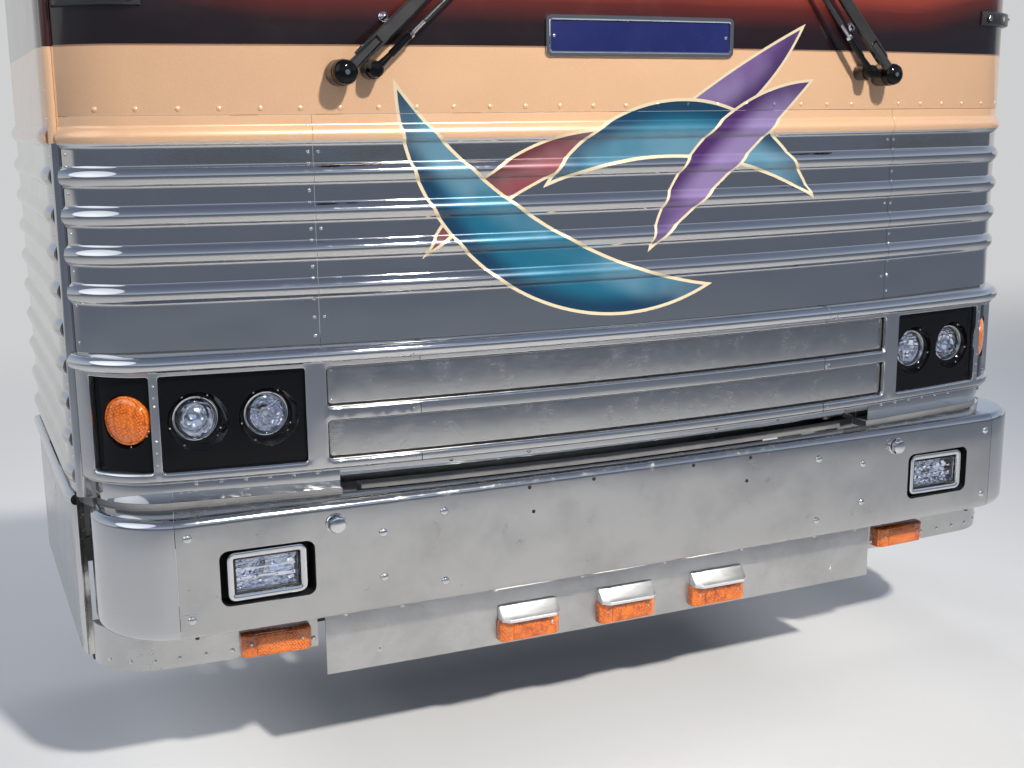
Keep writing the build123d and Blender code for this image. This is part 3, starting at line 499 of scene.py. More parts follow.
# Materials
class Tree:
    """A node tree with short calls for its common nodes. A value is a number, a colour or a node's socket."""

    def __init__(self, tree):
        self.t = tree
        self.t.nodes.clear()

    def node(self, kind, **props):
        n = self.t.nodes.new(kind)
        for k, v in props.items():
            setattr(n, k, v)
        return n

    def put(self, socket, value):
        if isinstance(value, bpy.types.NodeSocket):
            self.t.links.new(value, socket)
        elif value is not None:
            if hasattr(socket.default_value, "__len__"):
                if not hasattr(value, "__len__"):
                    value = [value] * 3
                value = (list(value) + [1.0])[:len(socket.default_value)]
            socket.default_value = value

    def make(self, kind, inputs, out=0, **props):
        """Adds a node, fills its inputs, which are given by number or name, and gives one of its outputs."""
        n = self.node(kind, **props)
        for key, value in inputs.items():
            self.put(n.inputs[key], value)
        return n.outputs[out]

    def math(self, op, *values):
        return self.make("ShaderNodeMath", dict(enumerate(values)), operation=op)

    def mix(self, fac, a, b, mode="MIX"):
        inputs = {0: fac, 6: a, 7: b}
        return self.make("ShaderNodeMix", inputs, 2, data_type="RGBA", blend_type=mode, clamp_factor=True)

    def fade(self, value, low, high, a=0.0, b=1.0):
        """Smooth change from a at low to b at high."""
        inputs = dict(enumerate((value, low, high, a, b)))
        return self.make("ShaderNodeMapRange", inputs, interpolation_type="SMOOTHSTEP")

    def ramp(self, fac, stops):
        n = self.node("ShaderNodeValToRGB")
        r = n.color_ramp
        while len(r.elements) < len(stops):
            r.elements.new(0.5)
        for e, (p, colour) in zip(r.elements, stops):
            e.position = p
            e.color = list(colour) + [1.0]
        self.put(n.inputs[0], fac)
        return n.outputs[0]

    def place(self):
        return self.node("ShaderNodeTexCoord").outputs["Object"]

    def scaled(self, vector, scale, turn=(0, 0, 0)):
        return self.make("ShaderNodeMapping", {0: vector, 2: turn, 3: scale})

    def split(self, vector):
        n = self.node("ShaderNodeSeparateXYZ")
        self.put(n.inputs[0], vector)
        return n.outputs[0], n.outputs[1], n.outputs[2]

    def noise(self, vector, scale, detail, rough, bend=0.0):
        inputs = {"Vector": vector, "Scale": scale, "Detail": detail, "Roughness": rough, "Distortion": bend}
        return self.make("ShaderNodeTexNoise", inputs)

    def cells(self, vector, scale, out=0, random=1.0, metric="EUCLIDEAN"):
        inputs = {"Vector": vector, "Scale": scale, "Randomness": random}
        return self.make("ShaderNodeTexVoronoi", inputs, out, distance=metric)

    def bump(self, height, distance, strength=1.0, normal=None):
        inputs = {"Height": height, "Distance": distance, "Strength": strength, "Normal": normal}
        return self.make("ShaderNodeBump", inputs)

    def surface(self, **values):
        return self.make("ShaderNodeBsdfPrincipled", {k.replace("_", " "): v for k, v in values.items()})

    def blend(self, fac, a, b):
        return self.make("ShaderNodeMixShader", {0: fac, 1: a, 2: b})

    def out(self, shader, kind="ShaderNodeOutputMaterial"):
        self.t.links.new(shader, self.node(kind).inputs[0])


def material(name):
    m = bpy.data.materials.new(name)
    m.use_nodes = True
    return m, Tree(m.node_tree)


def darker(colour, share):
    return [v * share for v in colour]


STEEL = (0.6, 0.595, 0.585)


def steel_surface(t, p, base=STEEL, rough=0.055, wave=0.0011, scuff=0.3, grain=(6, 90, 90), dirt=0.1):
    """Polished stainless sheet: slow waves, fine rolling lines, faint scuffs and a little road film."""
    slow = t.noise(t.scaled(p, (1.0, 1.0, 1.6)), 3.1, 1.5, 0.45)
    fine = t.noise(t.scaled(p, grain), 9.0, 3.0, 0.6)
    marks = t.noise(t.scaled(p, (1, 1, 1), (0.3, 0.2, 0.5)), 24.0, 4.0, 0.62, 0.6)
    film = t.noise(p, 5.0, 5.0, 0.6)
    r = t.math("MULTIPLY_ADD", t.fade(marks, 0.5, 0.74), scuff * 0.34, rough)
    r = t.math("MULTIPLY_ADD", t.fade(fine, 0.35, 0.8), scuff * 0.07, r)
    r = t.math("MULTIPLY_ADD", t.fade(film, 0.45, 0.75), dirt * 0.3, r)
    colour = t.mix(t.fade(film, 0.42, 0.78, 0.0, dirt * 2.2), base, darker(base, 0.72))
    n = t.bump(slow, wave * 2.2)
    n = t.bump(fine, 0.00002 * (1 + scuff), 0.6, n)
    return t.surface(Base_Color=colour, Metallic=1.0, Roughness=r, Normal=n)


def steel(name, **kw):
    m, t = material(name)
    t.out(steel_surface(t, t.place(), **kw))
    return m


def paint_surface(t, p, colour):
    """Gloss paint under clear coat, with a faint orange peel and metal flake."""
    n = t.bump(t.noise(p, 4.0, 1.5, 0.5), 0.0012)
    n = t.bump(t.noise(p, 260.0, 2.0, 0.5), 0.00002, 0.7, n)
    spark = t.split(t.cells(p, 1400.0, out=1))[0]
    bright = t.mix(1.0, colour, (1.6, 1.6, 1.6), "MULTIPLY")
    colour = t.mix(t.fade(spark, 0.55, 1.0, 0.0, 0.25), colour, bright)
    dust = t.noise(p, 9.0, 4.0, 0.65)
    r = t.math("MULTIPLY_ADD", t.fade(dust, 0.45, 0.8), 0.1, 0.3)
    return t.surface(
        Base_Color=colour, Metallic=0.25, Roughness=r, Coat_Weight=0.9, Coat_Roughness=0.035, Coat_IOR=1.5,
        Normal=n, Coat_Normal=n,
    )


TAN, CREAM, PALE = (0.66, 0.405, 0.235), (0.68, 0.56, 0.37), (0.75, 0.85, 0.9)
# heights at which the paint starts and at which the tan band turns dark red
PAINT_FROM, TAN_TO = 1.5105, 1.708
# Swept shapes of the paintwork, each between two arcs that share their ends.
# Columns: first end X, height; second end X, height; rise of the outer and of the inner arc to the right of
# the way from the first end to the second; dark colour, light colour, width of the outline.
SWEEPS = (
    (0.47, 1.772, -0.06, 1.455, -0.085, 0.02, (0.045, 0.014, 0.085), (0.17, 0.075, 0.27), 0.0065),
    (-0.545, 1.245, 0.02, 1.515, -0.11, -0.025, (0.085, 0.004, 0.007), (0.26, 0.03, 0.04), 0.0065),
    (-0.6, 1.64, 0.205, 1.15, 0.265, 0.095, (0.0015, 0.03, 0.07), (0.006, 0.16, 0.25), 0.0075),
    (-0.255, 1.395, 0.51, 1.345, -0.225, -0.085, (0.0015, 0.033, 0.075), (0.007, 0.17, 0.26), 0.0075),
    (0.505, 1.64, 0.02, 1.235, 0.11, -0.01, (0.048, 0.014, 0.088), (0.18, 0.08, 0.28), 0.0065),
)
# the dark red's colours, from the tan band up
GLOW = (
    (0.0, (0.006, 0.002, 0.003)), (0.25, (0.012, 0.0025, 0.003)), (0.6, (0.085, 0.01, 0.007)),
    (1.0, (0.34, 0.05, 0.024)),
)


def arc_disc(px, pz, qx, qz, rise):
    """Centre and radius of the circle through two points that stands out by rise to the right of the way."""
    a, b = Vector((px, pz)), Vector((qx, qz))
    half = (b - a).length / 2
    r = (half**2 + rise**2) / (2 * abs(rise))
    along = (b - a).normalized()
    right = Vector((along.y, -along.x)) * (1 if rise > 0 else -1)
    middle = (a + b) / 2 - right * (r - abs(rise))
    return middle.x, middle.y, r


def disc(t, x, z, cx, height, r):
    """Distance outside a disc in the X-Z plane."""
    dx = t.math("SUBTRACT", x, cx)
    dz = t.math("SUBTRACT", z, ROAD + height)
    d = t.math("SQRT", t.math("ADD", t.math("MULTIPLY", dx, dx), t.math("MULTIPLY", dz, dz)))
    return t.math("SUBTRACT", d, r)


def paintwork(t, p):
    """Colour of the front's paint and where it covers the steel: tan band, dark red, swept crescents."""
    x, _, z = t.split(p)
    mottle = t.noise(p, 3.2, 3.0, 0.55)
    up = t.math("SUBTRACT", z, ROAD)
    streaks = t.noise(t.scaled(p, (1.5, 1.5, 60.0)), 3.0, 3.0, 0.5)
    ends = t.fade(t.math("ABSOLUTE", x), 0.8, 1.22, 0.0, 0.055)
    level = t.math("SUBTRACT", t.math("MULTIPLY_ADD", t.math("ADD", mottle, streaks), 0.012, up), ends)
    glow = t.ramp(t.fade(level, 1.705, 1.9), GLOW)
    tan = t.mix(t.fade(mottle, 0.3, 0.75, 0.0, 0.35), TAN, (0.6, 0.355, 0.2))
    colour = t.mix(t.math("GREATER_THAN", up, TAN_TO), tan, glow)
    line = t.math("LESS_THAN", t.math("ABSOLUTE", t.math("SUBTRACT", up, TAN_TO + 0.0005)), 0.0018)
    colour = t.mix(line, colour, (0.3, 0.16, 0.09))
    cover = t.math("GREATER_THAN", up, PAINT_FROM)
    for px, pz, qx, qz, outer, inner, dark, light, edge in SWEEPS:
        far, near = [disc(t, x, z, *arc_disc(px, pz, qx, qz, rise)) for rise in (outer, inner)]
        if outer * inner > 0:
            near = t.math("MULTIPLY", near, -1.0)
        depth = t.math("MAXIMUM", far, near)
        lit = t.fade(t.math("MULTIPLY_ADD", mottle, 0.03, near), -0.075, -0.02)
        tone = t.fade(t.math("MULTIPLY_ADD", mottle, 0.02, far), -0.055, -0.008, 0.55, 0.0)
        tone = t.mix(tone, dark, light)
        pale = [v + (w - v) * 0.3 for v, w in zip(light, PALE)]
        shade = t.mix(t.math("MULTIPLY", lit, t.fade(mottle, 0.38, 0.64, 0.05, 0.42)), tone, pale)
        colour = t.mix(t.math("LESS_THAN", depth, 0.0), colour, CREAM)
        colour = t.mix(t.math("LESS_THAN", depth, -edge), colour, shade)
        cover = t.math("MAXIMUM", cover, t.math("LESS_THAN", depth, 0.0))
    return colour, cover


def front_skin():
    m, t = material("front_skin")
    p = t.place()
    colour, cover = paintwork(t, p)
    bare = steel_surface(t, p, rough=0.045, wave=0.0016, scuff=0.16, dirt=0.05)
    t.out(t.blend(cover, bare, paint_surface(t, p, colour)))
    return m


def side_skin():
    """Side panels and corner strips: steel with the tan band carried round."""
    m, t = material("side_skin")
    p = t.place()
    up = t.math("SUBTRACT", t.split(p)[2], ROAD)
    colour = t.mix(t.math("GREATER_THAN", up, TAN_TO), TAN, (0.035, 0.004, 0.004))
    bare = steel_surface(t, p, rough=0.05, wave=0.0022, scuff=0.22, dirt=0.12)
    t.out(t.blend(t.math("GREATER_THAN", up, PAINT_FROM), bare, paint_surface(t, p, colour)))
    return m


def plain(name, colour, rough=0.4, metal=0.0, bump=0.0, scale=60.0, vary=0.15, coat=0.0, dust=0.0, shine=0.5):
    """Painted or moulded surface with a little unevenness, wear and dust."""
    m, t = material(name)
    p = t.place()
    wear = t.noise(p, 7.0, 4.0, 0.62)
    c = t.mix(wear, darker(colour, 1 - vary), [min(1.0, v) for v in darker(colour, 1 + vary)])
    if dust:
        c = t.mix(t.fade(wear, 0.4, 0.75, 0.0, dust), c, (0.32, 0.29, 0.25))
    r = t.math("MULTIPLY_ADD", t.fade(wear, 0.3, 0.8), 0.14, rough)
    n = t.bump(t.noise(p, scale, 4.0, 0.6), bump) if bump else None
    t.out(t.surface(
        Base_Color=c, Metallic=metal, Roughness=r, Specular_IOR_Level=shine, Coat_Weight=coat,
        Coat_Roughness=0.05, Normal=n,
    ))
    return m


def brushed(name, base, rough, strength=0.00004, dirt=0.1, specks=0.0):
    """Brushed or dull sheet, its lines along X."""
    m, t = material(name)
    p = t.place()
    lines = t.noise(t.scaled(p, (3, 30, 30)), 12.0, 4.0, 0.65)
    patch = t.noise(p, 6.0, 5.0, 0.62, 0.4)
    film = t.noise(p, 17.0, 5.0, 0.7)
    c = t.mix(t.fade(patch, 0.35, 0.75, 0.0, dirt * 2), base, darker(base, 0.62))
    c = t.mix(t.fade(lines, 0.35, 0.75, 0.0, 0.16), c, darker(base, 0.8))
    r = t.math("MULTIPLY_ADD", t.fade(lines, 0.3, 0.8), 0.1, rough)
    r = t.math("MULTIPLY_ADD", t.fade(film, 0.4, 0.8), 0.12, r)
    if specks:
        c = t.mix(t.fade(t.cells(p, 150.0), 0.06, 0.12, specks, 0.0), c, (0.9, 0.88, 0.84))
    n = t.bump(lines, strength, 0.8, t.bump(patch, 0.0014))
    t.out(t.surface(Base_Color=c, Metallic=1.0, Roughness=r, Normal=n))
    return m


def amber():
    """Clear amber plastic over a bright back, its inside moulded in small prisms."""
    m, t = material("amber")
    p = t.place()
    prisms = t.cells(t.scaled(p, (1, 0.5, 1), (0, 0.5, 0)), 170.0, random=0.3, metric="CHEBYCHEV")
    patches = t.noise(p, 28.0, 3.0, 0.6)
    # painted shade: each moulded prism is coloured darker from its middle to its edges, more so in some noise
    # patches
    shade = t.math("MULTIPLY", t.fade(prisms, 0.1, 0.6), t.fade(patches, 0.3, 0.66, 0.45, 1.0))
    c = t.mix(shade, (0.86, 0.205, 0.008), (0.26, 0.034, 0.002))
    t.out(t.surface(
        Base_Color=c, Roughness=0.1, IOR=1.49, Coat_Weight=1.0, Coat_Roughness=0.02, Subsurface_Weight=0.15,
        Subsurface_Radius=(0.02, 0.006, 0.002), Subsurface_Scale=0.4, Normal=t.bump(prisms, 0.0012, 0.8),
    ))
    return m


def clear():
    m, t = material("clear_lens")
    n = t.bump(t.noise(t.place(), 40.0, 2.0, 0.5), 0.0003, 0.4)
    pale = (0.97, 0.98, 1.0)
    glass = t.surface(Base_Color=pale, Roughness=0.01, IOR=1.45, Transmission_Weight=1.0, Normal=n)
    through = t.node("ShaderNodeBsdfTransparent").outputs[0]
    t.out(t.blend(t.node("ShaderNodeLightPath").outputs["Is Shadow Ray"], glass, through))
    return m


def reflector():
    """Bright facetted bowl behind a lens."""
    m, t = material("reflector")
    facets = t.cells(t.place(), 60.0, random=0.5)
    # painted shade: each facet is coloured darker and bluer from its middle to its edges
    c = t.mix(t.fade(facets, 0.1, 0.7), (0.95, 0.96, 1.0), (0.78, 0.82, 0.9))
    t.out(t.surface(Base_Color=c, Metallic=1.0, Roughness=0.06, Normal=t.bump(facets, 0.004, 0.9)))
    return m


front = front_skin()
side_metal = side_skin()
mirror = steel("mirror_steel", base=(0.62, 0.615, 0.605), rough=0.045, wave=0.001, scuff=0.22, dirt=0.06)
rail_metal = steel("rail_steel", base=(0.66, 0.66, 0.66), rough=0.04, wave=0.0006, scuff=0.12, dirt=0.03)
worn = dict(scuff=0.55, grain=(2, 40, 60), dirt=0.32)
bumper_metal = steel("bumper_steel", base=(0.54, 0.535, 0.525), rough=0.075, wave=0.0022, **worn)
end_metal = steel("bumper_end_steel", base=(0.6, 0.6, 0.6), rough=0.04, wave=0.0016, scuff=0.15, dirt=0.08)
inset_metal = brushed("inset_steel", (0.52, 0.515, 0.505), 0.15, dirt=0.06, specks=0.2)
dull = brushed("dull_aluminium", (0.6, 0.595, 0.585), 0.38, 0.00006, 0.28)
skirt_metal = brushed("skirt_steel", (0.6, 0.595, 0.58), 0.15, dirt=0.22)
chrome = steel("chrome", base=(0.74, 0.745, 0.75), rough=0.03, wave=0.0, scuff=0.08, dirt=0.02)
bolt_metal = steel("bolt_steel", base=(0.72, 0.71, 0.7), rough=0.1, wave=0.0, scuff=0.3, dirt=0.2)
bay_black = plain("bay_black", (0.003, 0.003, 0.0035), 0.05, vary=0.2, shine=0.25)
deep_black = plain("deep_black", (0.004, 0.004, 0.004), 0.6, vary=0.2)
cast = dict(bump=0.00008, scale=300.0, vary=0.25)
trim_black = plain("trim_black", (0.014, 0.014, 0.015), 0.34, coat=0.25, dust=0.03, **cast)
rubber = plain("black_rubber", (0.012, 0.012, 0.012), 0.62, bump=0.0001, scale=400.0, vary=0.3, dust=0.08)
plate_blue = plain("plate_blue", (0.006, 0.01, 0.075), 0.18, coat=1.0, vary=0.3, bump=0.0001, scale=120.0)
panel_back = plain("panel_back", (0.24, 0.235, 0.225), 0.55, vary=0.15, dust=0.15)
frame_grey = plain("frame_grey", (0.16, 0.16, 0.165), 0.46, bump=0.0002, scale=180.0, vary=0.22, dust=0.25)
frame_black = plain("frame_black", (0.022, 0.022, 0.023), 0.42, bump=0.0002, scale=180.0, vary=0.3, dust=0.2)
hood_white = brushed("hood_aluminium", (0.86, 0.86, 0.85), 0.42, dirt=0.06)
amber_lens = amber()
glass = clear()
bowl = reflector()
bulb_metal = plain("bulb_metal", (0.65, 0.66, 0.7), 0.15, 1.0, vary=0.1)


# Skin of the front: stations of its seams and heights of its edges
SEAM = body.at_x(0.779)
STRIP = body.at_back(0.212)
STRIP_END = body.at_back(0.246)
SIDE_END = body.at_back(1.138)
SIDE_LOW, PANEL_TOP, STEEL_TOP, PAINT_TOP, SILL_TOP = 0.738, 1.0443, 1.565, 1.88, 1.9
FLUTES = [1.522 - 0.0822 * i for i in range(10)]
# ridge of a flute: half its width, how far its foot reaches, how proud it stands and how softly it starts
RIDGE, RIDGE_REACH, RIDGE_PROUD, RIDGE_SOFT = 0.021, 0.0255, 0.012, 0.00075


def fluted(low, high, count):
    """Closed section of a fluted panel, each ridge running out softly into the flat."""
    line = [(0.0, low)]
    for middle in reversed(FLUTES[:count]):
        for u in span(22):
            dz = RIDGE_REACH * u
            lift = RIDGE_PROUD * (1 - (dz / RIDGE) ** 2) / RIDGE_SOFT
            out = RIDGE_SOFT * (max(lift, 0) + log1p(exp(-abs(lift))))
            line.append((min(out, RIDGE_PROUD), middle + dz))
    return line + [(0.0, high), (-SKIN, high), (-SKIN, low)]


steel_section = fluted(PANEL_TOP, STEEL_TOP - SEAT, 5)
paint_section = rounded(block(STEEL_TOP + SEAT, PAINT_TOP - SEAT, 0, SKIN), [0.0014, 0, 0, 0.001], 2)
sill_section = block(PAINT_TOP + SEAT, SILL_TOP - SEAT, 0.004, 0.034)
sill_section = rounded(sill_section, [0.004, 0.007, 0.004, 0.001], 4)
skins = [front, panel_back]
piece = sweep(Build(), body, 0.0006 - SEAM, SEAM - 0.0006, steel_section).lined(body)
piece.done("fluted_centre_skin", skins, "front", "bright_steel", ["fluted_centre"])
piece = sweep(Build(), body, SEAM + SEAT, STRIP - 0.0006, steel_section).lined(body)
piece.mirrored().done("fluted_corner_skin", skins, "front", "bright_steel", ["fluted_corners"])
piece = sweep(Build(), body, -STRIP, STRIP, paint_section).lined(body)
piece.done("painted_panel_skin", skins, "front", "dark_red_paint", ["painted_panel"])
piece = sweep(Build(), body, -STRIP, STRIP, sill_section)
piece.done("sill_gasket", rubber, "front", "black_rubber", ["sill_rubber"])
skins = [side_metal, panel_back]
side_section = fluted(SIDE_LOW + 0.0005, PAINT_TOP - SEAT, 10)
piece = sweep(Build(), body, STRIP_END + 0.0004, SIDE_END, side_section).lined(body)
piece.mirrored().done("side_panel_skin", skins, "front", "bright_steel", ["side_panels"])

# corner strip: a flat with a rounded bead on it
profile = []
for u in span(24):
    lift = 0.002 + 0.01 * max(0.0, 1 - (u / 0.72) ** 2) ** 0.5
    profile.append((STRIP + (STRIP_END - STRIP) * (u + 1) / 2, lift))
profile += [(STRIP_END, -SKIN), (STRIP, -SKIN)]
piece = Build().rows([[body.at(s, o, height) for s, o in profile] for height in (SIDE_LOW, PAINT_TOP)])
piece.lined(body).mirrored().done("corner_strip_bead", skins, "front", "bright_steel", ["corner_strips"])

# side skirts: sheet that turns in at the foot, a rolled trim on top and one down the front edge
start, top = STRIP_END + 0.006, SIDE_LOW - SEAT
section = rounded(block(0.352, top, SHEET, SKIN), [0.004, 0.001, 0.001, 0.001], 3)
piece = sweep(Build(), body, start, SIDE_END, section)
sweep(piece, body, start, SIDE_END, rail_section(0.712, top, 0.017, 0.003), 1)
TRIM_WIDE, TRIM_FLAT = 0.016, 0.002
rows = []
for height, proud in ((0.392, 0.0045), (0.4, 0.01), (0.7, 0.01), (top, 0.01)):
    ring = []
    for u in span(8):
        lift = TRIM_FLAT + (proud - TRIM_FLAT) * max(0.0, cos(pi / 2 * u)) ** 0.6
        ring.append(body.at(start + TRIM_WIDE * (u + 1) / 2, lift, height))
    rows.append(ring + [body.at(start + TRIM_WIDE, -TRIM_FLAT, height), body.at(start, -TRIM_FLAT, height)])
piece.rows(rows, 1)
mats = [skirt_metal, rail_metal]
piece.mirrored().done("side_skirt_skin", mats, "front", "dull_aluminium", ["side_skirts"])


# Rivets and bolts
def set_heads(name, places, head, mat, ride, slot, both=False):
    """One piece of many small heads. places are matrices."""
    piece = Build()
    for place in places:
        piece.join(head, place)
    if both:
        piece.mirrored()
    return piece.done(name, mat, ride, slot, sharp=50, clean=False)


# row of rivets along the painted panel, those down its two seams and those beside the corner strips
PITCH = 0.0846
row = spots(body, [PITCH * (i - 14.5) for i in range(30)], [1.579])
row += spots(body, (-SEAM - 0.01, SEAM + 0.01), [1.5395])
set_heads("paint_rivets", row, dome(0.0058, 0.003, 14, 5), front, "front", "tan_paint")
heights = (1.487, 1.462, 1.405, 1.379, 1.322, 1.297, 1.24, 1.215, 1.169, 1.128, 1.087)
row = spots(body, (-SEAM - 0.01, SEAM + 0.01), heights)
row += spots(body, (0.012 - SEAM, SEAM - 0.012), (1.487, 1.322, 1.128))
set_heads("seam_rivets", row, dome(0.0042, 0.0022, 12, 4), bolt_metal, "front", "bright_steel")
heights = (1.62, 1.56, 1.481, 1.399, 1.316, 1.234, 1.152, 1.07, 0.987, 0.905, 0.823, 0.76)
row = spots(body, [STRIP_END + 0.012], heights)
row += spots(body, [STRIP - 0.014], (1.487, 1.462, 1.405, 1.322, 1.24, 1.169, 1.087))
set_heads("corner_rivets", row, dome(0.004, 0.0022, 12, 4), bolt_metal, "front", "bright_steel", both=True)


# Lamp panel: heights and stations of its bars, windows and lamp bays
PANEL_LOW, WINDOW_LOW, MID_LOW, MID_HIGH, WINDOW_HIGH, PANEL_HIGH = 0.786, 0.809, 0.898, 0.929, 1.02, 1.044
BEAD_LOW, BEAD_HIGH, BEAD_PROUD = 1.028, 1.064, 0.015
PANEL_DEEP = 0.015
SPLIT = lower.at_x(0.561)
PANEL_END = lower.at_back(0.212) - 0.0006
WINDOW_END = lower.at_x(0.775)
JOINT = 0.0016
BAY_START, BAY_END = lower.at_x(0.822), lower.at_back(0.165)
# how far the front edges of the sheet are rounded: at windows, under a bar and on its top
HARD, FOOT_SOFT, CROWN = 0.0022, 0.005, 0.0085


def bead_run(piece, start, end, shrink=0.0, mat=0):
    """The bead on top of the panel: a rounded nose whose top runs back to the fluted skin."""
    half = (BEAD_HIGH - BEAD_LOW) / 2
    r = (half**2 + BEAD_PROUD**2) / (2 * BEAD_PROUD)
    reach = degrees(asin(half / r))
    nose = arc(BEAD_PROUD - r, BEAD_LOW + half, r, -reach, reach, 22)
    rows = []
    for s in lower.stops(start, end):
        back = lower.depth_to(s, body) - 0.0002
        foot = PANEL_HIGH + 0.0006
        section = nose + [(-back, BEAD_HIGH), (-back, foot), (0.0002, foot)]
        rows.append([lower.at(s, o - shrink, h) for o, h in section])
    return piece.rows(rows, mat)


piece = Build()
bead_run(piece, SPLIT + JOINT, PANEL_END)
bead_run(piece, SPLIT - 0.004, SPLIT + 0.006, 0.0012, 1)
piece.join(dome(0.0048, 0.0026, 12, 4, 0.0012), on_skin(lower, SPLIT + 0.022, BEAD_PROUD - 0.003, 1.0375), 1)
piece.mirrored()
bead_run(piece, -SPLIT, SPLIT)
section = rounded(block(WINDOW_HIGH, PANEL_HIGH, 0, PANEL_DEEP), [0.0025, 0, 0.001, 0.001], 5)
sweep(piece, lower, -SPLIT, SPLIT, section)
piece.done("upper_rail_bead", [rail_metal, bolt_metal], "front", "mirror_steel", ["upper_rail"], sharp=40)

for name, node, low, high, foot, crown in (
    ("lower_bar", "lower_rail", PANEL_LOW, WINDOW_LOW, FOOT_SOFT, CROWN),
    ("mid_bar", "mid_rail", MID_LOW, MID_HIGH, 0.0025, 0.008),
):
    section = rounded(block(low, high, 0, PANEL_DEEP), [foot, crown, 0.001, 0.001], 7)
    piece = sweep(Build(), lower, -SPLIT, SPLIT, section)
    piece.done(name, mirror, "front", "mirror_steel", [node], sharp=40)

# outer thirds: the ends of the bars, the land and the openings of the lamp bays, in one sheet
start = SPLIT + JOINT
# Columns: station, height, radius of the corner, how far the side from it on is rounded
corners = (
    (start, PANEL_LOW, 0, FOOT_SOFT), (PANEL_END, PANEL_LOW, 0, 0), (PANEL_END, PANEL_HIGH, 0, 0),
    (start, PANEL_HIGH, 0, 0), (start, WINDOW_HIGH, 0, HARD), (WINDOW_END, WINDOW_HIGH, 0.01, HARD),
    (WINDOW_END, MID_HIGH, 0.01, CROWN), (start, MID_HIGH, 0, 0), (start, MID_LOW, 0, HARD),
    (WINDOW_END, MID_LOW, 0.01, HARD), (WINDOW_END, WINDOW_LOW, 0.01, CROWN), (start, WINDOW_LOW, 0, 0),
)
outer = edge_path([c[:2] for c in corners], [c[2] for c in corners], [c[3] for c in corners], True, False)
openings = []
for a, b in ((BAY_START, lower.at_x(1.1325)), (lower.at_x(1.1515), BAY_END)):
    corners = [(a, WINDOW_LOW), (b, WINDOW_LOW), (b, WINDOW_HIGH), (a, WINDOW_HIGH)]
    openings.append(edge_path(corners, [0.006] * 4, [CROWN, HARD, HARD, HARD], True, True, 0.02))
piece = soft_plate(Build(), lower, outer, openings, 0.0, PANEL_DEEP, 0.02)
piece.mirrored().done("lamp_frame_skin", mirror, "front", "mirror_steel", ["lamp_frames"], sharp=40)
row = spots(lower, [lower.at_x(1.142)], (0.826, 0.853, 0.88, 0.956, 0.975, 1.001))
row += spots(lower, [SPLIT + 0.016], (0.797, 0.911))
set_heads("bay_screws", row, dome(0.003, 0.0016, 10, 3), bolt_metal, "front", "mirror_steel", both=True)

# sheets in the windows: brushed, each with a pressed border and rounded corners, on a dark back
FIELD_IN, SHEET_SPLIT = 0.0136, 0.9135
piece = Build()
for low, high in ((PANEL_LOW + 0.0004, SHEET_SPLIT - SEAT), (SHEET_SPLIT + SEAT, PANEL_HIGH - 0.0004)):
    end = WINDOW_END + 0.0135
    sweep(piece, lower, -end, end, band(low, high, -0.017, 0.0232, 0.0005), 1)
for low, high in ((WINDOW_LOW, MID_LOW), (MID_HIGH, WINDOW_HIGH)):
    end = WINDOW_END - 0.0035
    ring = [(-end, low + 0.003), (end, low + 0.003), (end, high - 0.003), (-end, high - 0.003)]
    field = edge_path(ring, [0.009] * 4, [HARD] * 4, True, False)
    soft_plate(piece, lower, field, [], -FIELD_IN, 0.0034, 0.05)
piece.done("centre_panel_skin", [inset_metal, deep_black], "front", "mirror_steel", ["centre_panels"])
row = spots(lower, (0.0125 - WINDOW_END, WINDOW_END - 0.0125), (1.009, 0.94, 0.887, 0.82), -FIELD_IN)
set_heads("panel_screws", row, dome(0.0026, 0.0012, 10, 3), bolt_metal, "front", "mirror_steel")

# Apron
APRON_LOW, APRON_TOP, APRON_IN, CHANNEL_IN = 0.733, PANEL_LOW - SEAT, 0.028, 0.072
CHANNEL = lower.at_x(0.748)


def apron_run(piece, start, end, inset):
    sweep(piece, lower, start, end, band(APRON_LOW, APRON_TOP, -inset, inset + SHEET, 0.0008))
    sweep(piece, lower, start, end, band(APRON_TOP - SHEET, APRON_TOP, -0.006, inset - 0.0002, 0.0008))


piece = Build()
apron_run(piece, CHANNEL, PANEL_END, APRON_IN)
sweep(piece, lower, CHANNEL, CHANNEL + SHEET, band(APRON_LOW, APRON_TOP, -APRON_IN, CHANNEL_IN, 0.0004))
piece.mirrored()
apron_run(piece, 0.0004 - CHANNEL, CHANNEL - 0.0004, CHANNEL_IN)
piece.done("apron_sheet", mirror, "front", "bright_steel", ["apron"])
row = spots(lower, sides(lower, 1.064, 1.01, 0.957, 0.904, 0.851, 0.798), [0.773], -APRON_IN)
row += spots(lower, sides(lower, 0.27, 0.47), [0.762], -CHANNEL_IN)
set_heads("apron_rivets", row, dome(0.0052, 0.003, 14, 5), bolt_metal, "front", "bright_steel")


# Lamp bays
HEAD_X, HEAD_H, HEAD_SUNK = (0.9015, 1.053), 0.917, 0.039
TURN_X, TURN_BACK, TURN_H, TURN_ANGLE = 1.1965, 0.1235, 0.922, radians(44)
head_places = [facing((x, lower.y_at(x) + HEAD_SUNK, ROAD + HEAD_H)) for x in HEAD_X]
turn_place = facing((TURN_X, FACE + TURN_BACK, ROAD + TURN_H), TURN_ANGLE)
turn_s = lower.in_corner(atan2(TURN_X - lower.corner_x, lower.corner_y - FACE - TURN_BACK))

# gloss black buckets: a thick face with a flared dish round each lamp, open at the back
PLATE_IN, BACK_IN, WALL_FROM, WALL_TO, WALL = 0.0158, 0.0385, 0.017, 0.06, 0.005
LOW, HIGH, START, END = 0.802, 1.027, BAY_START - 0.007, BAY_END + 0.007
outline = [(START, LOW), (END, LOW), (END, HIGH), (START, HIGH)]
RIM = 44


def ring_at(place, r, z):
    return [place @ Vector((x, y, z)) for x, y in circle(r, RIM)]


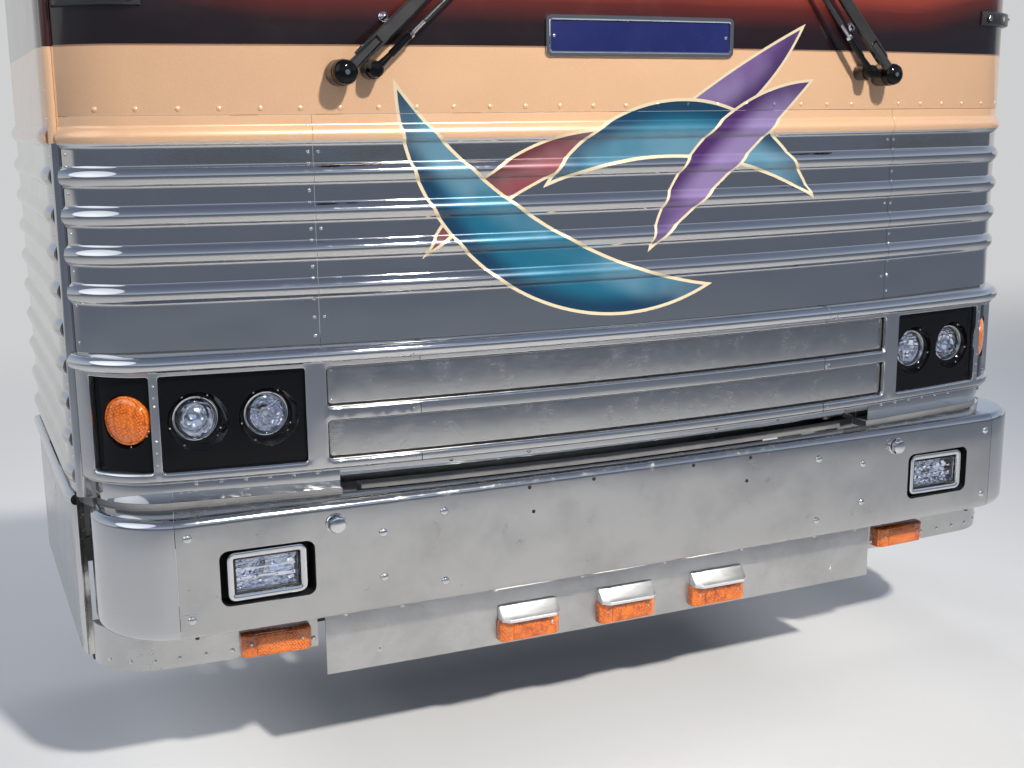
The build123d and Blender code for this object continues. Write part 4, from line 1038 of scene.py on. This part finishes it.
def flare(piece, place, rim, r, z):
    """A dish from a ring of points on the plate down to a circle of radius r at depth z of a lamp."""
    back = ring_at(place, r, z)
    sag = place.to_3x3() @ Vector((0, 0, -0.004))
    rows = []
    for i in range(9):
        u = i / 8
        rows.append([a.lerp(b, u) + sag * sin(pi * u) for a, b in zip(rim, back)])
    rows.append(ring_at(place, r, z - 0.018))
    piece.rows(rows, caps=False)


dishes = [[(lower.at_x(x), h) for x, h in circle(0.0655, RIM, x, HEAD_H - 0.003)] for x in HEAD_X]
dishes.append(circle(0.06, RIM, turn_s, TURN_H - 0.002))
piece = plate(Build(), lower, outline, dishes, -PLATE_IN, -PLATE_IN - 0.002)
cans = ((0.0512, -0.001), (0.0512, -0.001), (0.0535, -0.012))
for ring, place, (r, z) in zip(dishes, head_places + [turn_place], cans):
    flare(piece, place, [lower.at(s, -PLATE_IN, h) for s, h in ring], r, z)
for start, end, low, high in (
    (START, END, LOW, LOW + WALL), (START, END, HIGH - WALL, HIGH),
    (START, START + WALL, LOW, HIGH), (END - WALL, END, LOW, HIGH),
):
    sweep(piece, lower, start, end, block(low, high, -WALL_FROM, WALL_TO))
backs = [circle(0.0455, 32, lower.at_x(x) - 0.006, HEAD_H) for x in HEAD_X]
backs.append(circle(0.049, 32, turn_s, TURN_H))
plate(piece, lower, outline, backs, -BACK_IN, -BACK_IN - 0.0005, step=0.04)
piece.mirrored().done("lamp_bucket_shell", bay_black, "front", "bay_black", ["lamp_buckets"], fix=False)
screws = []
for place in head_places:
    for angle, r in ((-140, 0.06), (-62, 0.06), (118, 0.0585), (62, 0.0585), (205, 0.058), (-12, 0.058)):
        drop = 0.003 if angle < 0 else 0
        screws.append(place @ shift(polar(r, angle, 0.0105) - Vector((0, drop, 0))))
set_heads("dish_screws", screws, dome(0.0026, 0.002, 10, 3), bolt_metal, "front", "mirror_steel", both=True)

# headlamps: chrome ring, domed glass, bright bowl, and inside it a bulb shield or a projector lens
RING = mm(
    (44.5, -13.5), (50, -13), (50.8, -4), (50.5, 0.5), (49, 2.2), (47.2, 1.8), (46.6, -2), (45.8, 0),
    (44.8, 0.4), (44, -3), (43.6, -10),
)
CAN = mm((44, -12), (44, -98), (26.4, -110), (15, -110), (14, -109.5), (0.1, -109.5))
CUP = mm((0.1, -8), (6, -8.5), (9.5, -12), (10.5, -20), (9.5, -30), (6, -38))
BARREL = mm((24.5, -40), (24.5, -16), (25.5, -13.5), (26.5, -15), (26.5, -18), (30, -22))
BOWL = [(0.0436 * u + 0.0002, -0.01 - 0.034 * (1 - u * u)) for u in [1 - i / 9 for i in range(10)]]


def cap_of(r, base, rise, n=12):
    """Profile of a dome of radius r that rises from base, from its rim to its top."""
    turns = [pi / 2 * i / n for i in range(n)]
    return [(r * cos(a), base + rise * sin(a)) for a in turns] + [(0.0001, base + rise)]


shell, lenses, projector = Build(), Build(), Build()
for index, place in enumerate(head_places):
    for kind, (profile, n) in enumerate(((RING, 56), (BOWL, 56), (CAN, 40))):
        shell.join(lathe(profile, n), place, kind)
    lenses.join(lathe(cap_of(0.044, -0.002, 0.011) + cap_of(0.0425, -0.004, 0.0105)[::-1], 56), place)
    if index == 0:
        shell.join(lathe(CUP, 28), place, 3)
        for angle in (20, 140, 260):
            stay = tube([polar(0.0095, angle, -0.02), polar(0.04, angle, -0.0135)], 0.0012, 8)
            shell.join(stay, place, 3)
    else:
        shell.join(lathe(BARREL, 40), place, 3)
        projector.join(lathe([(0.0001, -0.0165)] + cap_of(0.0235, -0.0155, 0.0115, 8), 40), place)
mats = [chrome, bowl, frame_black, bulb_metal]
shell.mirrored().done("headlamp_shells", mats, "front", "lamp_glass", ["headlamps"], sharp=40, fix=False)
lenses.mirrored().done("headlamp_lenses", glass, "front", "lamp_glass", sharp=50)
projector.mirrored().done("headlamp_projectors", glass, "front", "lamp_glass", sharp=60)

# amber turn lamps on the corners
PUCK = mm(
    (48, -24), (54.5, -23.5), (55.3, -18), (55.2, -2), (54.5, 1), (52.8, 2.4), (50.8, 2.6), (49.6, 1.6),
    (48.8, 2),
)
back_can = mm((52, -23.5), (47, -24), (46.8, -73), (30, -84), (0.1, -84))
piece = Build().join(lathe(PUCK + cap_of(0.0488, 0.002, 0.0075)[1:], 64), turn_place)
piece.join(lathe(back_can, 40), turn_place, 1)
mats = [amber_lens, frame_black]
piece.mirrored().done("turn_lamp_lenses", mats, "front", "amber_lens", ["turn_lamps"], sharp=45, fix=False)
row = [turn_place @ shift(polar(0.059, angle, -0.002)) for angle in (200, 212, 262)]
head = dome(0.0022, 0.0018, 10, 3)
set_heads("turn_lamp_screws", row, head, bolt_metal, "front", "mirror_steel", both=True)


# Bumper: heights of its edges, radii of its nose and heel, and the band that has the fog lamps' holes
TOP, FOOT, NOSE, HEEL = 0.725, 0.45, 0.02, 0.026
HOLE_LOW, HOLE_HIGH = 0.512, 0.65
# parts of one sheet stand this far apart, so that their edges stay their own when doubled points are joined
APART = 0.00002


def upper_section(s):
    """Section above the holes at a station: its flange runs back as far as 8 mm from the apron."""
    reach = bumper.depth_to(s, lower, APRON_IN - 0.008)
    foot = HOLE_HIGH + APART
    out = [(-reach, TOP)] + arc(-NOSE, TOP - NOSE, NOSE, 90, 0, 10) + [(0, foot), (-SHEET, foot)]
    return out + arc(-NOSE, TOP - NOSE, NOSE - SHEET, 0, 90, 10) + [(-reach, TOP - SHEET)]


def lower_section():
    top = HOLE_LOW - APART
    out = [(0, top)] + arc(-HEEL, FOOT + HEEL, HEEL, 0, -90, 10) + [(-0.034, FOOT), (-0.034, FOOT + SHEET)]
    return out + arc(-HEEL, FOOT + HEEL, HEEL - SHEET, -90, 0, 10) + [(-SHEET, top)]


def bumper_run(start, end):
    rows = [[bumper.at(s, o, h) for o, h in upper_section(s)] for s in bumper.stops(start, end)]
    return sweep(Build().rows(rows), bumper, start, end, lower_section())


FACE_END = bumper.at_x(1.13)
FOG_X, FOG_H = 0.9355, 0.581
HOLE = (0.211, 0.126, 0.02)
piece = bumper_run(-FACE_END, FACE_END)
holes = [rect(*HOLE, 6, s, FOG_H) for s in sides(bumper, FOG_X)]
outline = [(-FACE_END, HOLE_LOW), (FACE_END, HOLE_LOW), (FACE_END, HOLE_HIGH), (-FACE_END, HOLE_HIGH)]
plate(piece, bumper, outline, holes, 0.0, -SHEET, step=0.045)
piece.done("bumper_face_skin", bumper_metal, "bumper", "mirror_steel", ["bumper_face"])
start, end = FACE_END + 0.0012, bumper.at_back(0.19)
piece = bumper_run(start, end)
sweep(piece, bumper, start, end, block(HOLE_LOW, HOLE_HIGH, 0, SHEET))
piece.mirrored().done("bumper_end_skin", end_metal, "bumper", "mirror_steel", ["bumper_ends"])

# carriage bolts, and near-black discs on the face as painted shade of its open drill holes
row = spots(bumper, sides(bumper, 1.105), (0.682, 0.498))
row += spots(bumper, sides(bumper, 0.672), (0.639, 0.533))
row += spots(bumper, sides(bumper, 0.525), (0.67, 0.502))
set_heads("bumper_bolts", row, dome(0.0098, 0.0052, 20, 6), bolt_metal, "bumper", "mirror_steel")
# painted shade: each drill hole is a thin near-black disc on the face, not a hole, for the dark inside of an
# open hole
hole_shade = lathe(mm((4.6, 0.4), (4, 0.7), (3, 0.5), (0.1, 0.3)), 14)
row = spots(bumper, sides(bumper, 0.31, 0.14), [0.7]) + spots(bumper, sides(bumper, 0.3), [0.64])
set_heads("bumper_drill_hole_shades", row, hole_shade, deep_black, "bumper", "mirror_steel")

# caps over the towing eyes: a stepped plug with flats, in a thin ring
TOW_X, TOW_H, TOW_R = 0.781, 0.676, 0.023
plug = mm((19.2, 0.5), (19.2, 12), (18.6, 14.5), (16.5, 16.2), (15, 16), (14.5, 16.8), (0.1, 19.8))
head = lathe(mm((22.8, 0), (23, 1.5), (21.2, 3.2), (20.4, 3)), 40)
head.join(lathe(plug, 6, pi / 6))
head.join(lathe(mm((16.5, 10), (17.8, 15), (17.2, 18.2), (14, 19.6), (0.1, 19.9)), 40))
piece = Build()
for side in BOTH:
    piece.join(head, facing((side * TOW_X, bumper.y_at(TOW_X - TOW_R) - SEAT, ROAD + TOW_H)))
piece.done("tow_cap_plugs", chrome, "bumper", "mirror_steel", ["tow_caps"], sharp=28, clean=False)


# Fog lamps
def rings(w, h, r, steps, place, n=6, least=0.002):
    """Rounded rectangles inside each other. steps are (inset at the ends, inset on top and foot, z)."""
    found = []
    for in_x, in_y, z in steps:
        ring = rect(w - 2 * in_x, h - 2 * in_y, max(least, r - in_x), n)
        found.append([place @ Vector((x, y, z)) for x, y in ring])
    return found


def even(*steps):
    """Steps with the same inset on all sides."""
    return [(inset, inset, z) for inset, z in steps]


FOG_WIDE, FOG_TALL, FOG_ROUND = 0.178, 0.112, 0.018
fog_face = bumper.y_at(FOG_X)
place = facing((FOG_X, fog_face + 0.006, ROAD + FOG_H))
bezel = even(
    (0.001, -0.02), (0.0000, -0.018), (0.0000, -0.005), (0.0012, -0.0012), (0.0045, 0.0), (0.01, -0.0004),
    (0.014, -0.0025), (0.0158, -0.0065), (0.0162, -0.016),
)
groove = even((0.0162, -0.0125), (0.0205, -0.011), (0.021, -0.016))
housing = even(
    (0.001, -0.02), (0.008, -0.0205), (0.009, -0.03), (0.016, -0.055), (0.026, -0.07), (0.036, -0.0746)
)
piece = Build()
piece.rows(rings(FOG_WIDE, FOG_TALL, FOG_ROUND, bezel, place), 0, caps=False)
piece.rows(rings(FOG_WIDE, FOG_TALL, FOG_ROUND, groove, place), 1, caps=False)
piece.closed(rings(FOG_WIDE, FOG_TALL, FOG_ROUND + 0.006, housing, place), 2)
# black well behind the opening of the bumper, and the lamp's foot on its shelf
well_place = facing((FOG_X, fog_face + SHEET + 0.0006, ROAD + FOG_H))
well = even((-0.001, 0.0), (0.001, -0.05), (0.02, -0.0515))
piece.closed(rings(*HOLE[:2], 0.0, well, well_place, least=HOLE[2]), 1)
piece.join(box_build(0.056, 0.022, 0.036, 0.004), shift((FOG_X, fog_face + 0.04, ROAD + 0.5228)), 3)
piece.join(box_build(0.09, 0.05, 0.0035, 0.01), shift((FOG_X + 0.006, fog_face + 0.036, ROAD + 0.507)), 3)
# bright trough behind the lens, its two fins and the bulb
w, h = FOG_WIDE / 2 - 0.021, FOG_TALL / 2 - 0.021
rows = []
for v in span(12):
    deep = 0.028 * (1 - v * v)
    rows.append([place @ Vector((u * w, v * h, -0.014 - deep * (1 - 0.35 * u * u))) for u in span(16)])
piece.rows(rows, 4, loop=False, caps=False)
for v in (0.3, -0.3):
    piece.join(box_build(2 * w, 0.006, 0.0025), place @ shift((0, v * h, -0.017)), 4)
piece.join(lathe(mm((0.1, -20), (6, -20.5), (8.5, -24), (8.5, -36)), 24), place, 5)
mats = [chrome, deep_black, frame_black, hood_white, bowl, bulb_metal]
piece.mirrored().done("fog_lamp_shells", mats, "bumper", "lamp_glass", ["fog_lamps"], sharp=38, fix=False)
# lens moulded in level bars
w, h = FOG_WIDE / 2 - 0.0205, FOG_TALL / 2 - 0.0205
rows = []
for v in span(60):
    near = -0.0085 + 0.0016 * abs(sin(v * pi * 2.5))
    ring = [(u * w, near) for u in span(4)] + [(-u * w, -0.0115) for u in span(4)]
    rows.append([place @ Vector((x, v * h, z)) for x, z in ring])
Build().rows(rows).mirrored().done("fog_lamp_lenses", glass, "bumper", "lamp_glass", sharp=50)
knob = lathe(mm((6, 0), (7, 2), (7, 10), (5.5, 12), (0.1, 12.5)), 20)
piece = Build().join(knob, place @ shift((0.036, -0.061, -0.028)) @ Matrix.Rotation(radians(90), 4, "X"))
piece.mirrored().done("fog_lamp_knobs", rubber, "bumper", "trim_black", clean=False)


# Valance, skirts and markers
VALANCE_IN, VALANCE_LOW, VALANCE_HIGH, VALANCE_END = 0.099, 0.276, 0.44, bumper.at_x(0.789)
section = block(VALANCE_LOW, VALANCE_HIGH, -VALANCE_IN, VALANCE_IN + SHEET)
section = rounded(section, [0.0015, 0.0008, 0.0008, 0.0015], 2)
piece = sweep(Build(), bumper, -VALANCE_END, VALANCE_END, section)
piece.done("valance_sheet", dull, "bumper", "dull_aluminium", ["valance"])
row = spots(bumper, sides(bumper, 0.66), [0.318], -VALANCE_IN)
row += spots(bumper, sides(bumper, 0.12, 0.36, 0.6, 0.74), [0.421], -VALANCE_IN)
set_heads("valance_bolts", row, dome(0.0052, 0.003, 12, 4, 0.0016), bolt_metal, "bumper", "dull_aluminium")

# the foot of a skirt rises a little beside its inner end
SKIRT_START, SKIRT_END, SKIRT_LOW = skirt.at_x(0.801), skirt.at_back(0.232), 0.345
rows = []
for s in skirt.stops(SKIRT_START, SKIRT_END, 0.02):
    along = max(0.0, min(1.0, (s - SKIRT_START - 0.075) / 0.12))
    low = SKIRT_LOW + 0.012 * sin(pi * along)
    rows.append([skirt.at(s, o, h) for o, h in block(low, VALANCE_HIGH, 0, SHEET)])
Build().rows(rows).mirrored().done("skirt_sheet", skirt_metal, "bumper", "dull_aluminium", ["skirts"])
row = spots(skirt, [skirt.at_x(x) for x in (0.812, 1.000, 1.06, 1.118, 1.172, 1.222, 1.262)], [0.366])
set_heads("skirt_rivets", row, dome(0.0056, 0.0032, 14, 5), bolt_metal, "bumper", "dull_aluminium", both=True)

MARKER_WIDE, MARKER_TALL, MARKER_DEEP = 0.164, 0.056, 0.028


def marker(piece, place):
    """A block lens with slanted ends, a raised window in front and a screw at each end."""
    d = MARKER_DEEP
    base = (
        (0.0, 0.0, 0.0), (0.0012, 0.0008, d * 0.55), (0.0115, 0.002, d * 0.84), (0.014, 0.0036, d * 0.9)
    )
    window = ((0.034, 0.006, d * 0.88), (0.0352, 0.007, d * 0.97), (0.0368, 0.0088, d))
    socket = lathe([(0.0062, d * 0.8), (0.0066, d * 0.93), (0.0045, d * 0.93), (0.004, d * 0.86)], 18)
    for steps, r in ((base, 0.005), (window, 0.003)):
        piece.rows(rings(MARKER_WIDE, MARKER_TALL, 0.0, steps, place, 3, r))
    for side in BOTH:
        at = place @ shift((side * (MARKER_WIDE / 2 - 0.023), 0.004, 0))
        piece.join(socket, at)
        piece.join(dome(0.0038, 0.002, 12, 4), at @ shift((0, 0, d * 0.87)), 1)


# hood over a marker: half its width, its depth and the cut of its front corners
HOOD, DEEP, CUT = 0.078, 0.044, 0.016


def hood_ring(side, front, cut):
    """Ring of a hood, from its back round its front: how deep its sides and its front are."""
    return [(-HOOD, 0.0), (-HOOD, side), (cut - HOOD, front), (HOOD - cut, front), (HOOD, side), (HOOD, 0.0)]


HOOD_RINGS = (
    (0.0283, hood_ring(DEEP - CUT, DEEP, CUT)),
    (0.0358, hood_ring(DEEP - CUT, DEEP, CUT)),
    (0.0418, hood_ring(DEEP * 0.55, DEEP * 0.72, CUT)),
    (0.0623, hood_ring(0.006, 0.008, CUT * 0.5)),
)
lenses, hoods = Build(), Build()
for x in (-0.275, 0.0, 0.275):
    back = bumper.y_at(max(0.0, abs(x) - MARKER_WIDE / 2), VALANCE_IN) - SEAT
    place = facing((x, back, ROAD + 0.316))
    marker(lenses, place)
    hoods.rows([[place @ Vector((x, height, z)) for x, z in ring] for height, ring in HOOD_RINGS])
mats = [amber_lens, bolt_metal]
look = dict(sharp=30, clean=False)
lenses.done("centre_marker_lenses", mats, "bumper", "amber_lens", ["centre_markers"], **look)
hoods.done("marker_hood_caps", hood_white, "bumper", "dull_aluminium", ["marker_hoods"], 20, 0.0008, False)
OUTER_X = 0.901
piece = Build()
marker(piece, facing((OUTER_X, skirt.y_at(OUTER_X, -SEAT), ROAD + 0.378), skirt.angle(skirt.at_x(OUTER_X))))
piece.mirrored().done("outer_marker_lenses", mats, "bumper", "amber_lens", ["outer_markers"], **look)


# Plate, mirror feet and nozzles
PLATE_END, PLATE_LOW, PLATE_HIGH, BORDER = body.at_x(0.247), 1.689, 1.779, 0.009


def plate_outline(inset, r):
    low, high, end = PLATE_LOW + inset, PLATE_HIGH - inset, PLATE_END - inset
    return rounded([(-end, low), (end, low), (end, high), (-end, high)], r, 6)


field = plate_outline(BORDER, 0.006)
piece = plate(Build(), body, plate_outline(0.0, 0.012), [field], 0.007, 0.0002)
ring = divided(field, 0.02, 0.0)
piece.join(tube([body.at(s, 0.0068, h) for s, h in ring], 0.002, 8, True))
inner = [(a * 0.999, PLATE_LOW + (b - PLATE_LOW) * 0.998 + 0.0001) for a, b in field]
plate(piece, body, inner, [], 0.0044, 0.0004, 1)
for place in spots(body, (0.02 - PLATE_END, PLATE_END - 0.02), [(PLATE_LOW + PLATE_HIGH) / 2], 0.0044):
    piece.join(dome(0.0042, 0.0022, 14, 4), place)
piece.done("name_plate_blank", [chrome, plate_blue], "front", "plate_blue", ["name_plate"], sharp=35)

# feet of the mirror arms: a pressed strip that thins out at its ends, with three bolts
start, end = body.at_x(1.112), body.at_back(0.205)
section = [(SEAT, 1.784), (0.016, 1.788), (0.016, 1.82), (SEAT, 1.824)]
section = rounded(section, [0.001, 0.004, 0.004, 0.001], 3)
rows = []
for s in body.stops(start, end):
    thin = min(1.0, max(0.25, min(s - start, end - s) / 0.022))
    rows.append([body.at(s, SEAT + (o - SEAT) * thin, h) for o, h in section])
piece = Build().rows(rows)
for share in (0.1, 0.42, 0.8):
    piece.join(hexagon(0.0075, 0.0045), on_skin(body, start + (end - start) * share, 0.015, 1.804), 1)
mats = [trim_black, bolt_metal]
piece.mirrored().done("mirror_foot_brackets", mats, "front", "trim_black", ["mirror_feet"], sharp=35)

jet = lathe(mm((10.5, 0), (10.8, 3), (8.5, 5), (7.8, 8.5), (5, 10.5), (0.1, 11)), 24)
piece = Build()
for place in spots(body, sides(body, 0.618), [1.768]):
    piece.join(jet, place)
piece.done("washer_nozzles", chrome, "front", "bright_steel", sharp=40, clean=False)


# Wipers
PIVOT_X, PIVOT_H, LINK_IN, LINK_UP = 0.72, 1.651, 0.067, 0.006
HUB_BACK, ARM = -1.15114, 0.88


def bar(build, *stations):
    """A bevelled bar along local y. stations are (y, width, low z, high z)."""
    rows = []
    for y, w, lo, hi in stations:
        w = w / 2
        c = min(2 * w, hi - lo) * 0.22
        ring = (
            (-w, lo + c * 0.5), (-w, hi - c), (-w + c, hi), (w - c, hi),
            (w, hi - c), (w, lo + c * 0.5), (w - c, lo), (-w + c, lo),
        )
        rows.append([(x, y, z) for x, z in ring])
    return build.rows(rows)


def along_y(n, *stops):
    """A round tube along local y. stops are (y, z, radius)."""
    return tube([(0, y, z) for y, z, _ in stops], [r for _, _, r in stops], n)


def arm_build():
    b = Build()
    hub = mm(
        (0.1, 0.4), (24, 0.4), (26.8, 1.5), (27, 8), (26.2, 16), (23.5, 22.5), (18, 27), (10, 29.4),
        (0.1, 29.9),
    )
    b.join(lathe(hub, 48), mat=1)
    b.join(lathe(mm((5.8, 29), (5.2, 30), (0.1, 30.2)), 20), mat=2)
    bar(b, (0.01, 0.024, 0.001, 0.02), (0.05, 0.019, 0.002, 0.018), (0.098, 0.017, 0.0025, 0.015))
    cheek = Build()
    bar(cheek, (0.044, 0.0042, 0.0035, 0.0125), (0.052, 0.0048, 0.001, 0.016), (0.12, 0.0048, 0.0008, 0.0165))
    for side in BOTH:
        b.join(cheek, shift((side * 0.0122, 0, 0)))
    bar(
        b, (0.104, 0.0292, 0.0008, 0.0162), (0.13, 0.0296, 0.0006, 0.0166), (0.3, 0.0262, 0.0006, 0.0158),
        (0.6, 0.0216, 0.0008, 0.0146), (0.85, 0.0184, 0.001, 0.0138), (ARM, 0.018, 0.0012, 0.0132),
    )
    b.join(tube([(-0.016, 0.066, 0.0085), (0.016, 0.066, 0.0085)], 0.0032, 14), mat=2)
    eye = mm((12.8, 0.6), (13, 3), (13, 12), (11.8, 14.2), (0.1, 14.6))
    b.join(lathe(eye, 32), shift((0, ARM, 0)))
    return b.join(hexagon(0.007, 0.005), shift((0, ARM, 0.014)), 2)


def link_build():
    b = Build()
    hub = mm((0.1, 0.4), (16, 0.4), (17.8, 2), (18, 9), (16.8, 16), (13, 20), (0.1, 21.8))
    b.join(lathe(hub, 40), mat=1)
    z = 0.0095
    b.join(along_y(20, (0.012, z, 0.0088), (0.036, z, 0.0068), (0.046, z, 0.0062)), mat=1)
    b.join(along_y(24, (0.046, z, 0.0062), (0.048, z, 0.0078), (0.104, z, 0.0078), (0.106, z, 0.006)), mat=1)
    b.join(hexagon(0.0085, 0.009), shift((0, 0.106, z)) @ Matrix.Rotation(radians(-90), 4, "X"), 2)
    # spring: turns of two radii in line
    turns = [(0.115 + 0.0007 * i, z, 0.0046 if i % 2 else 0.0054) for i in range(52)]
    b.join(along_y(14, *turns), mat=2)
    low = 0.0085
    b.join(along_y(20, (0.15, z, 0.0052), (0.152, z, 0.0064), (0.82, low, 0.0064), (0.85, low, 0.0064)))
    bar(b, (0.842, 0.013, 0.001, 0.014), (ARM, 0.0138, 0.001, 0.0135))
    eye = mm((12, 0.8), (12.6, 3), (12.6, 12), (11.2, 14), (0.1, 14.4))
    b.join(lathe(eye, 32), shift((0, ARM, 0)))
    return b.join(hexagon(0.0062, 0.0046), shift((0, ARM, 0.0138)), 2)


def yoke(b, middle, reach, steps, near, sag, wide, taper, thick):
    """A bowed bar along z that stands off by near at its middle and by near + sag at its thinner ends."""
    rows = []
    for u in span(steps):
        y, x = near + sag * u * u, (wide - taper * abs(u)) / 2
        ring = ((-x, y), (x, y), (x, y + thick), (-x, y + thick))
        rows.append([(a, c, middle + u * reach) for a, c in ring])
    b.rows(rows)


def blade_build(sign):
    """Blade in the row's axes, from the middle of its carrier: x across, y back, z up."""
    b = Build()
    reach = LINK_IN / 2
    b.rows([[(x, y, z) for x, z in rect(2 * reach + 0.027, 0.032, 0.01, 5)] for y in (0.001, 0.0068)])
    for side in BOTH:
        pin = -side * sign * LINK_UP / 2
        b.join(tube([(side * reach, 0.002, pin), (side * reach, -0.0185, pin)], 0.0052, 16), mat=1)
    # saddle, long yoke, two short yokes, their claws and the rubber lip
    up, half = 0.04 - LINK_UP / 2, 0.37
    b.join(box_build(0.014, 0.009, 0.06, 0.002), shift((0, 0.0115, up)))
    yoke(b, up, 0.185, 32, 0.0075, 0.0065, 0.0105, 0.0035, 0.0032)
    for side in BOTH:
        yoke(b, up + side * 0.185, 0.165, 20, 0.0145, 0.005, 0.0088, 0.0026, 0.0026)
    for z in (0.35, 0.222, 0.148, 0.02):
        for side in BOTH:
            b.join(box_build(0.01, 0.0056, 0.012, 0.0015), shift((0, 0.0212, up + side * z)))
    edge = mm((4.2, 20.5), (4.2, 23.2), (1.4, 24), (3.2, 25.2), (0.6, 28.8))
    lip = [(-0.0042, 0.0205)] + edge + [(-x, y) for x, y in edge[:0:-1]]
    return b.rows([[(x, y, up + z) for x, y in lip] for z in (-half, half)], 2)


for side, sign, lean in (("left", -1, radians(48)), ("right", 1, radians(41))):
    turn = Matrix.Rotation(sign * lean, 4, "Z")
    arm_place = facing((sign * PIVOT_X, HUB_BACK, ROAD + PIVOT_H)) @ turn
    link_place = facing((sign * (PIVOT_X - LINK_IN), HUB_BACK, ROAD + PIVOT_H + LINK_UP)) @ turn
    tip = Vector((sign * (PIVOT_X - ARM * sin(lean)), HUB_BACK, ROAD + PIVOT_H + ARM * cos(lean)))
    middle = tip + Vector((-sign * LINK_IN / 2, 0, LINK_UP / 2))
    for part, piece, mats, slot in (
        ("arm", arm_build().moved(arm_place), [trim_black, bay_black, bolt_metal], "trim_black"),
        ("link", link_build().moved(link_place), [trim_black, bay_black, bolt_metal], "trim_black"),
        ("blade", blade_build(sign).moved(shift(middle)), [trim_black, bolt_metal, rubber], "black_rubber"),
    ):
        piece.done(f"{part}_{side}_dressed", mats, f"{part}_{side}", slot, [f"wiper_{part}_{side}"], sharp=30)


# Frame behind, as in the CAD. Columns: node, material, slot, bevel
for name, mat, slot, bevel in (
    ("hoops", frame_grey, "frame_grey", 0.0015),
    ("posts", frame_grey, "frame_grey", 0.003),
    ("rear_posts", frame_grey, "frame_grey", 0.003),
    ("cross_beams", frame_black, "frame_black", 0.003),
    ("chassis_rails", frame_black, "frame_black", 0.003),
    ("spare_tray", frame_black, "frame_black", 0.002),
    ("bumper_beam", frame_black, "frame_black", 0.002),
    ("hinge_brackets", frame_black, "frame_black", 0.0015),
    ("hinge_pins", bolt_metal, "pin_steel", 0.001),
    ("wiper_motors", frame_black, "frame_black", 0.002),
    ("wiper_spindles", trim_black, "trim_black", 0.001),
):
    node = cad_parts[name]
    node.data.materials.clear()
    node.data.materials.append(mat)
    bevelled(node, bevel)


# Floor, world and lamps
HORIZON_FRONT, HORIZON_BACK = (0.135, 0.15, 0.178), (0.62, 0.625, 0.63)
# the backdrop turns pale behind the front: where on the floor, and in which directions of the world
PALE_FROM, PALE_TO, EDGE = 0.3, 6.0, 60.0
# colours of the ceiling, from the horizon up
CEILING = (
    (0.0, (0.55, 0.6, 0.69)), (0.34, (0.45, 0.53, 0.68)),
    (0.62, (0.23, 0.28, 0.39)), (1.0, (0.15, 0.18, 0.26)),
)


def floor_material():
    """Pale floor that runs into a pale backdrop behind the object."""
    m, t = material("floor")
    p = t.place()
    colour = t.mix(t.noise(p, 0.7, 4.0, 0.6), (0.545, 0.54, 0.53), (0.585, 0.58, 0.57))
    pale_floor = t.surface(Base_Color=colour, Roughness=0.9, Specular_IOR_Level=0.2)
    backdrop = t.make("ShaderNodeEmission", {0: HORIZON_BACK})
    t.out(t.blend(t.fade(t.split(p)[1], PALE_FROM, PALE_TO), pale_floor, backdrop))
    return m


def make_world():
    """Soft studio dome: an even horizon, pale behind the object under a light blue ceiling."""
    world = bpy.data.worlds.new("world")
    bpy.context.scene.world = world
    world.use_nodes = True
    t = Tree(world.node_tree)
    _, y, z = t.split(t.node("ShaderNodeTexCoord").outputs["Generated"])
    horizon = t.mix(t.fade(y, PALE_FROM / EDGE, PALE_TO / EDGE), HORIZON_FRONT, HORIZON_BACK)
    dome_colour = t.mix(t.fade(z, 0.1, 0.2), horizon, t.ramp(z, CEILING))
    t.out(t.make("ShaderNodeBackground", {0: dome_colour}), "ShaderNodeOutputWorld")


def lamp(name, azimuth, elevation, distance, size, power, spread, colour):
    """Area lamp that looks at the middle of the front. Azimuth 0 is in front, and positive to the right."""
    data = bpy.data.lights.new(name, "AREA")
    data.shape = "DISK"
    data.size = size
    data.energy = power
    data.color = colour
    data.spread = radians(spread)
    obj = bpy.data.objects.new(name, data)
    bpy.context.scene.collection.objects.link(obj)
    a, e = radians(azimuth), radians(elevation)
    aim = Vector((0, -0.9, 0.4))
    obj.location = aim + distance * Vector((sin(a) * cos(e), -cos(a) * cos(e), sin(e)))
    obj.rotation_euler = (aim - obj.location).to_track_quat("-Z", "Y").to_euler()


mesh = bpy.data.meshes.new("floor")
mesh.from_pydata([(-EDGE, -EDGE, 0), (EDGE, -EDGE, 0), (EDGE, EDGE, 0), (-EDGE, EDGE, 0)], [], [(0, 1, 2, 3)])
mesh.materials.append(floor_material())
floor = bpy.data.objects.new("floor", mesh)
floor.location = (0, 0, ROAD)
bpy.context.scene.collection.objects.link(floor)
make_world()
lamp("key", 7, 40, 9.0, 0.5, 122, 56, (1.0, 0.965, 0.91))
lamp("fill_left", -75, 32, 8.0, 7.0, 60, 120, (0.93, 0.96, 1.0))
lamp("fill_back", 170, 45, 8.0, 6.0, 150, 120, (0.97, 0.98, 1.0))


# Camera, where the photograph was taken from
scene = bpy.context.scene
scene.view_settings.view_transform = "Standard"
yaw, pitch, roll = radians(24.0), radians(11.652), radians(-0.569)
forward = Vector((sin(yaw), cos(yaw), 0))
right = Vector((cos(yaw), -sin(yaw), 0))
up = Vector((0, 0, 1))
look = forward * cos(pitch) - up * sin(pitch)
top = up * cos(pitch) + forward * sin(pitch)
side_axis = right * cos(roll) + top * sin(roll)
top_axis = top * cos(roll) - right * sin(roll)
camera = bpy.data.objects.new("camera", bpy.data.cameras.new("camera"))
turned = Matrix((side_axis, top_axis, -look)).transposed().to_4x4()
camera.matrix_world = shift((-1.5504, -3.8701, 1.08)) @ turned
camera.data.lens, camera.data.sensor_width = 45.883, 36.0
scene.collection.objects.link(camera)
scene.camera = camera
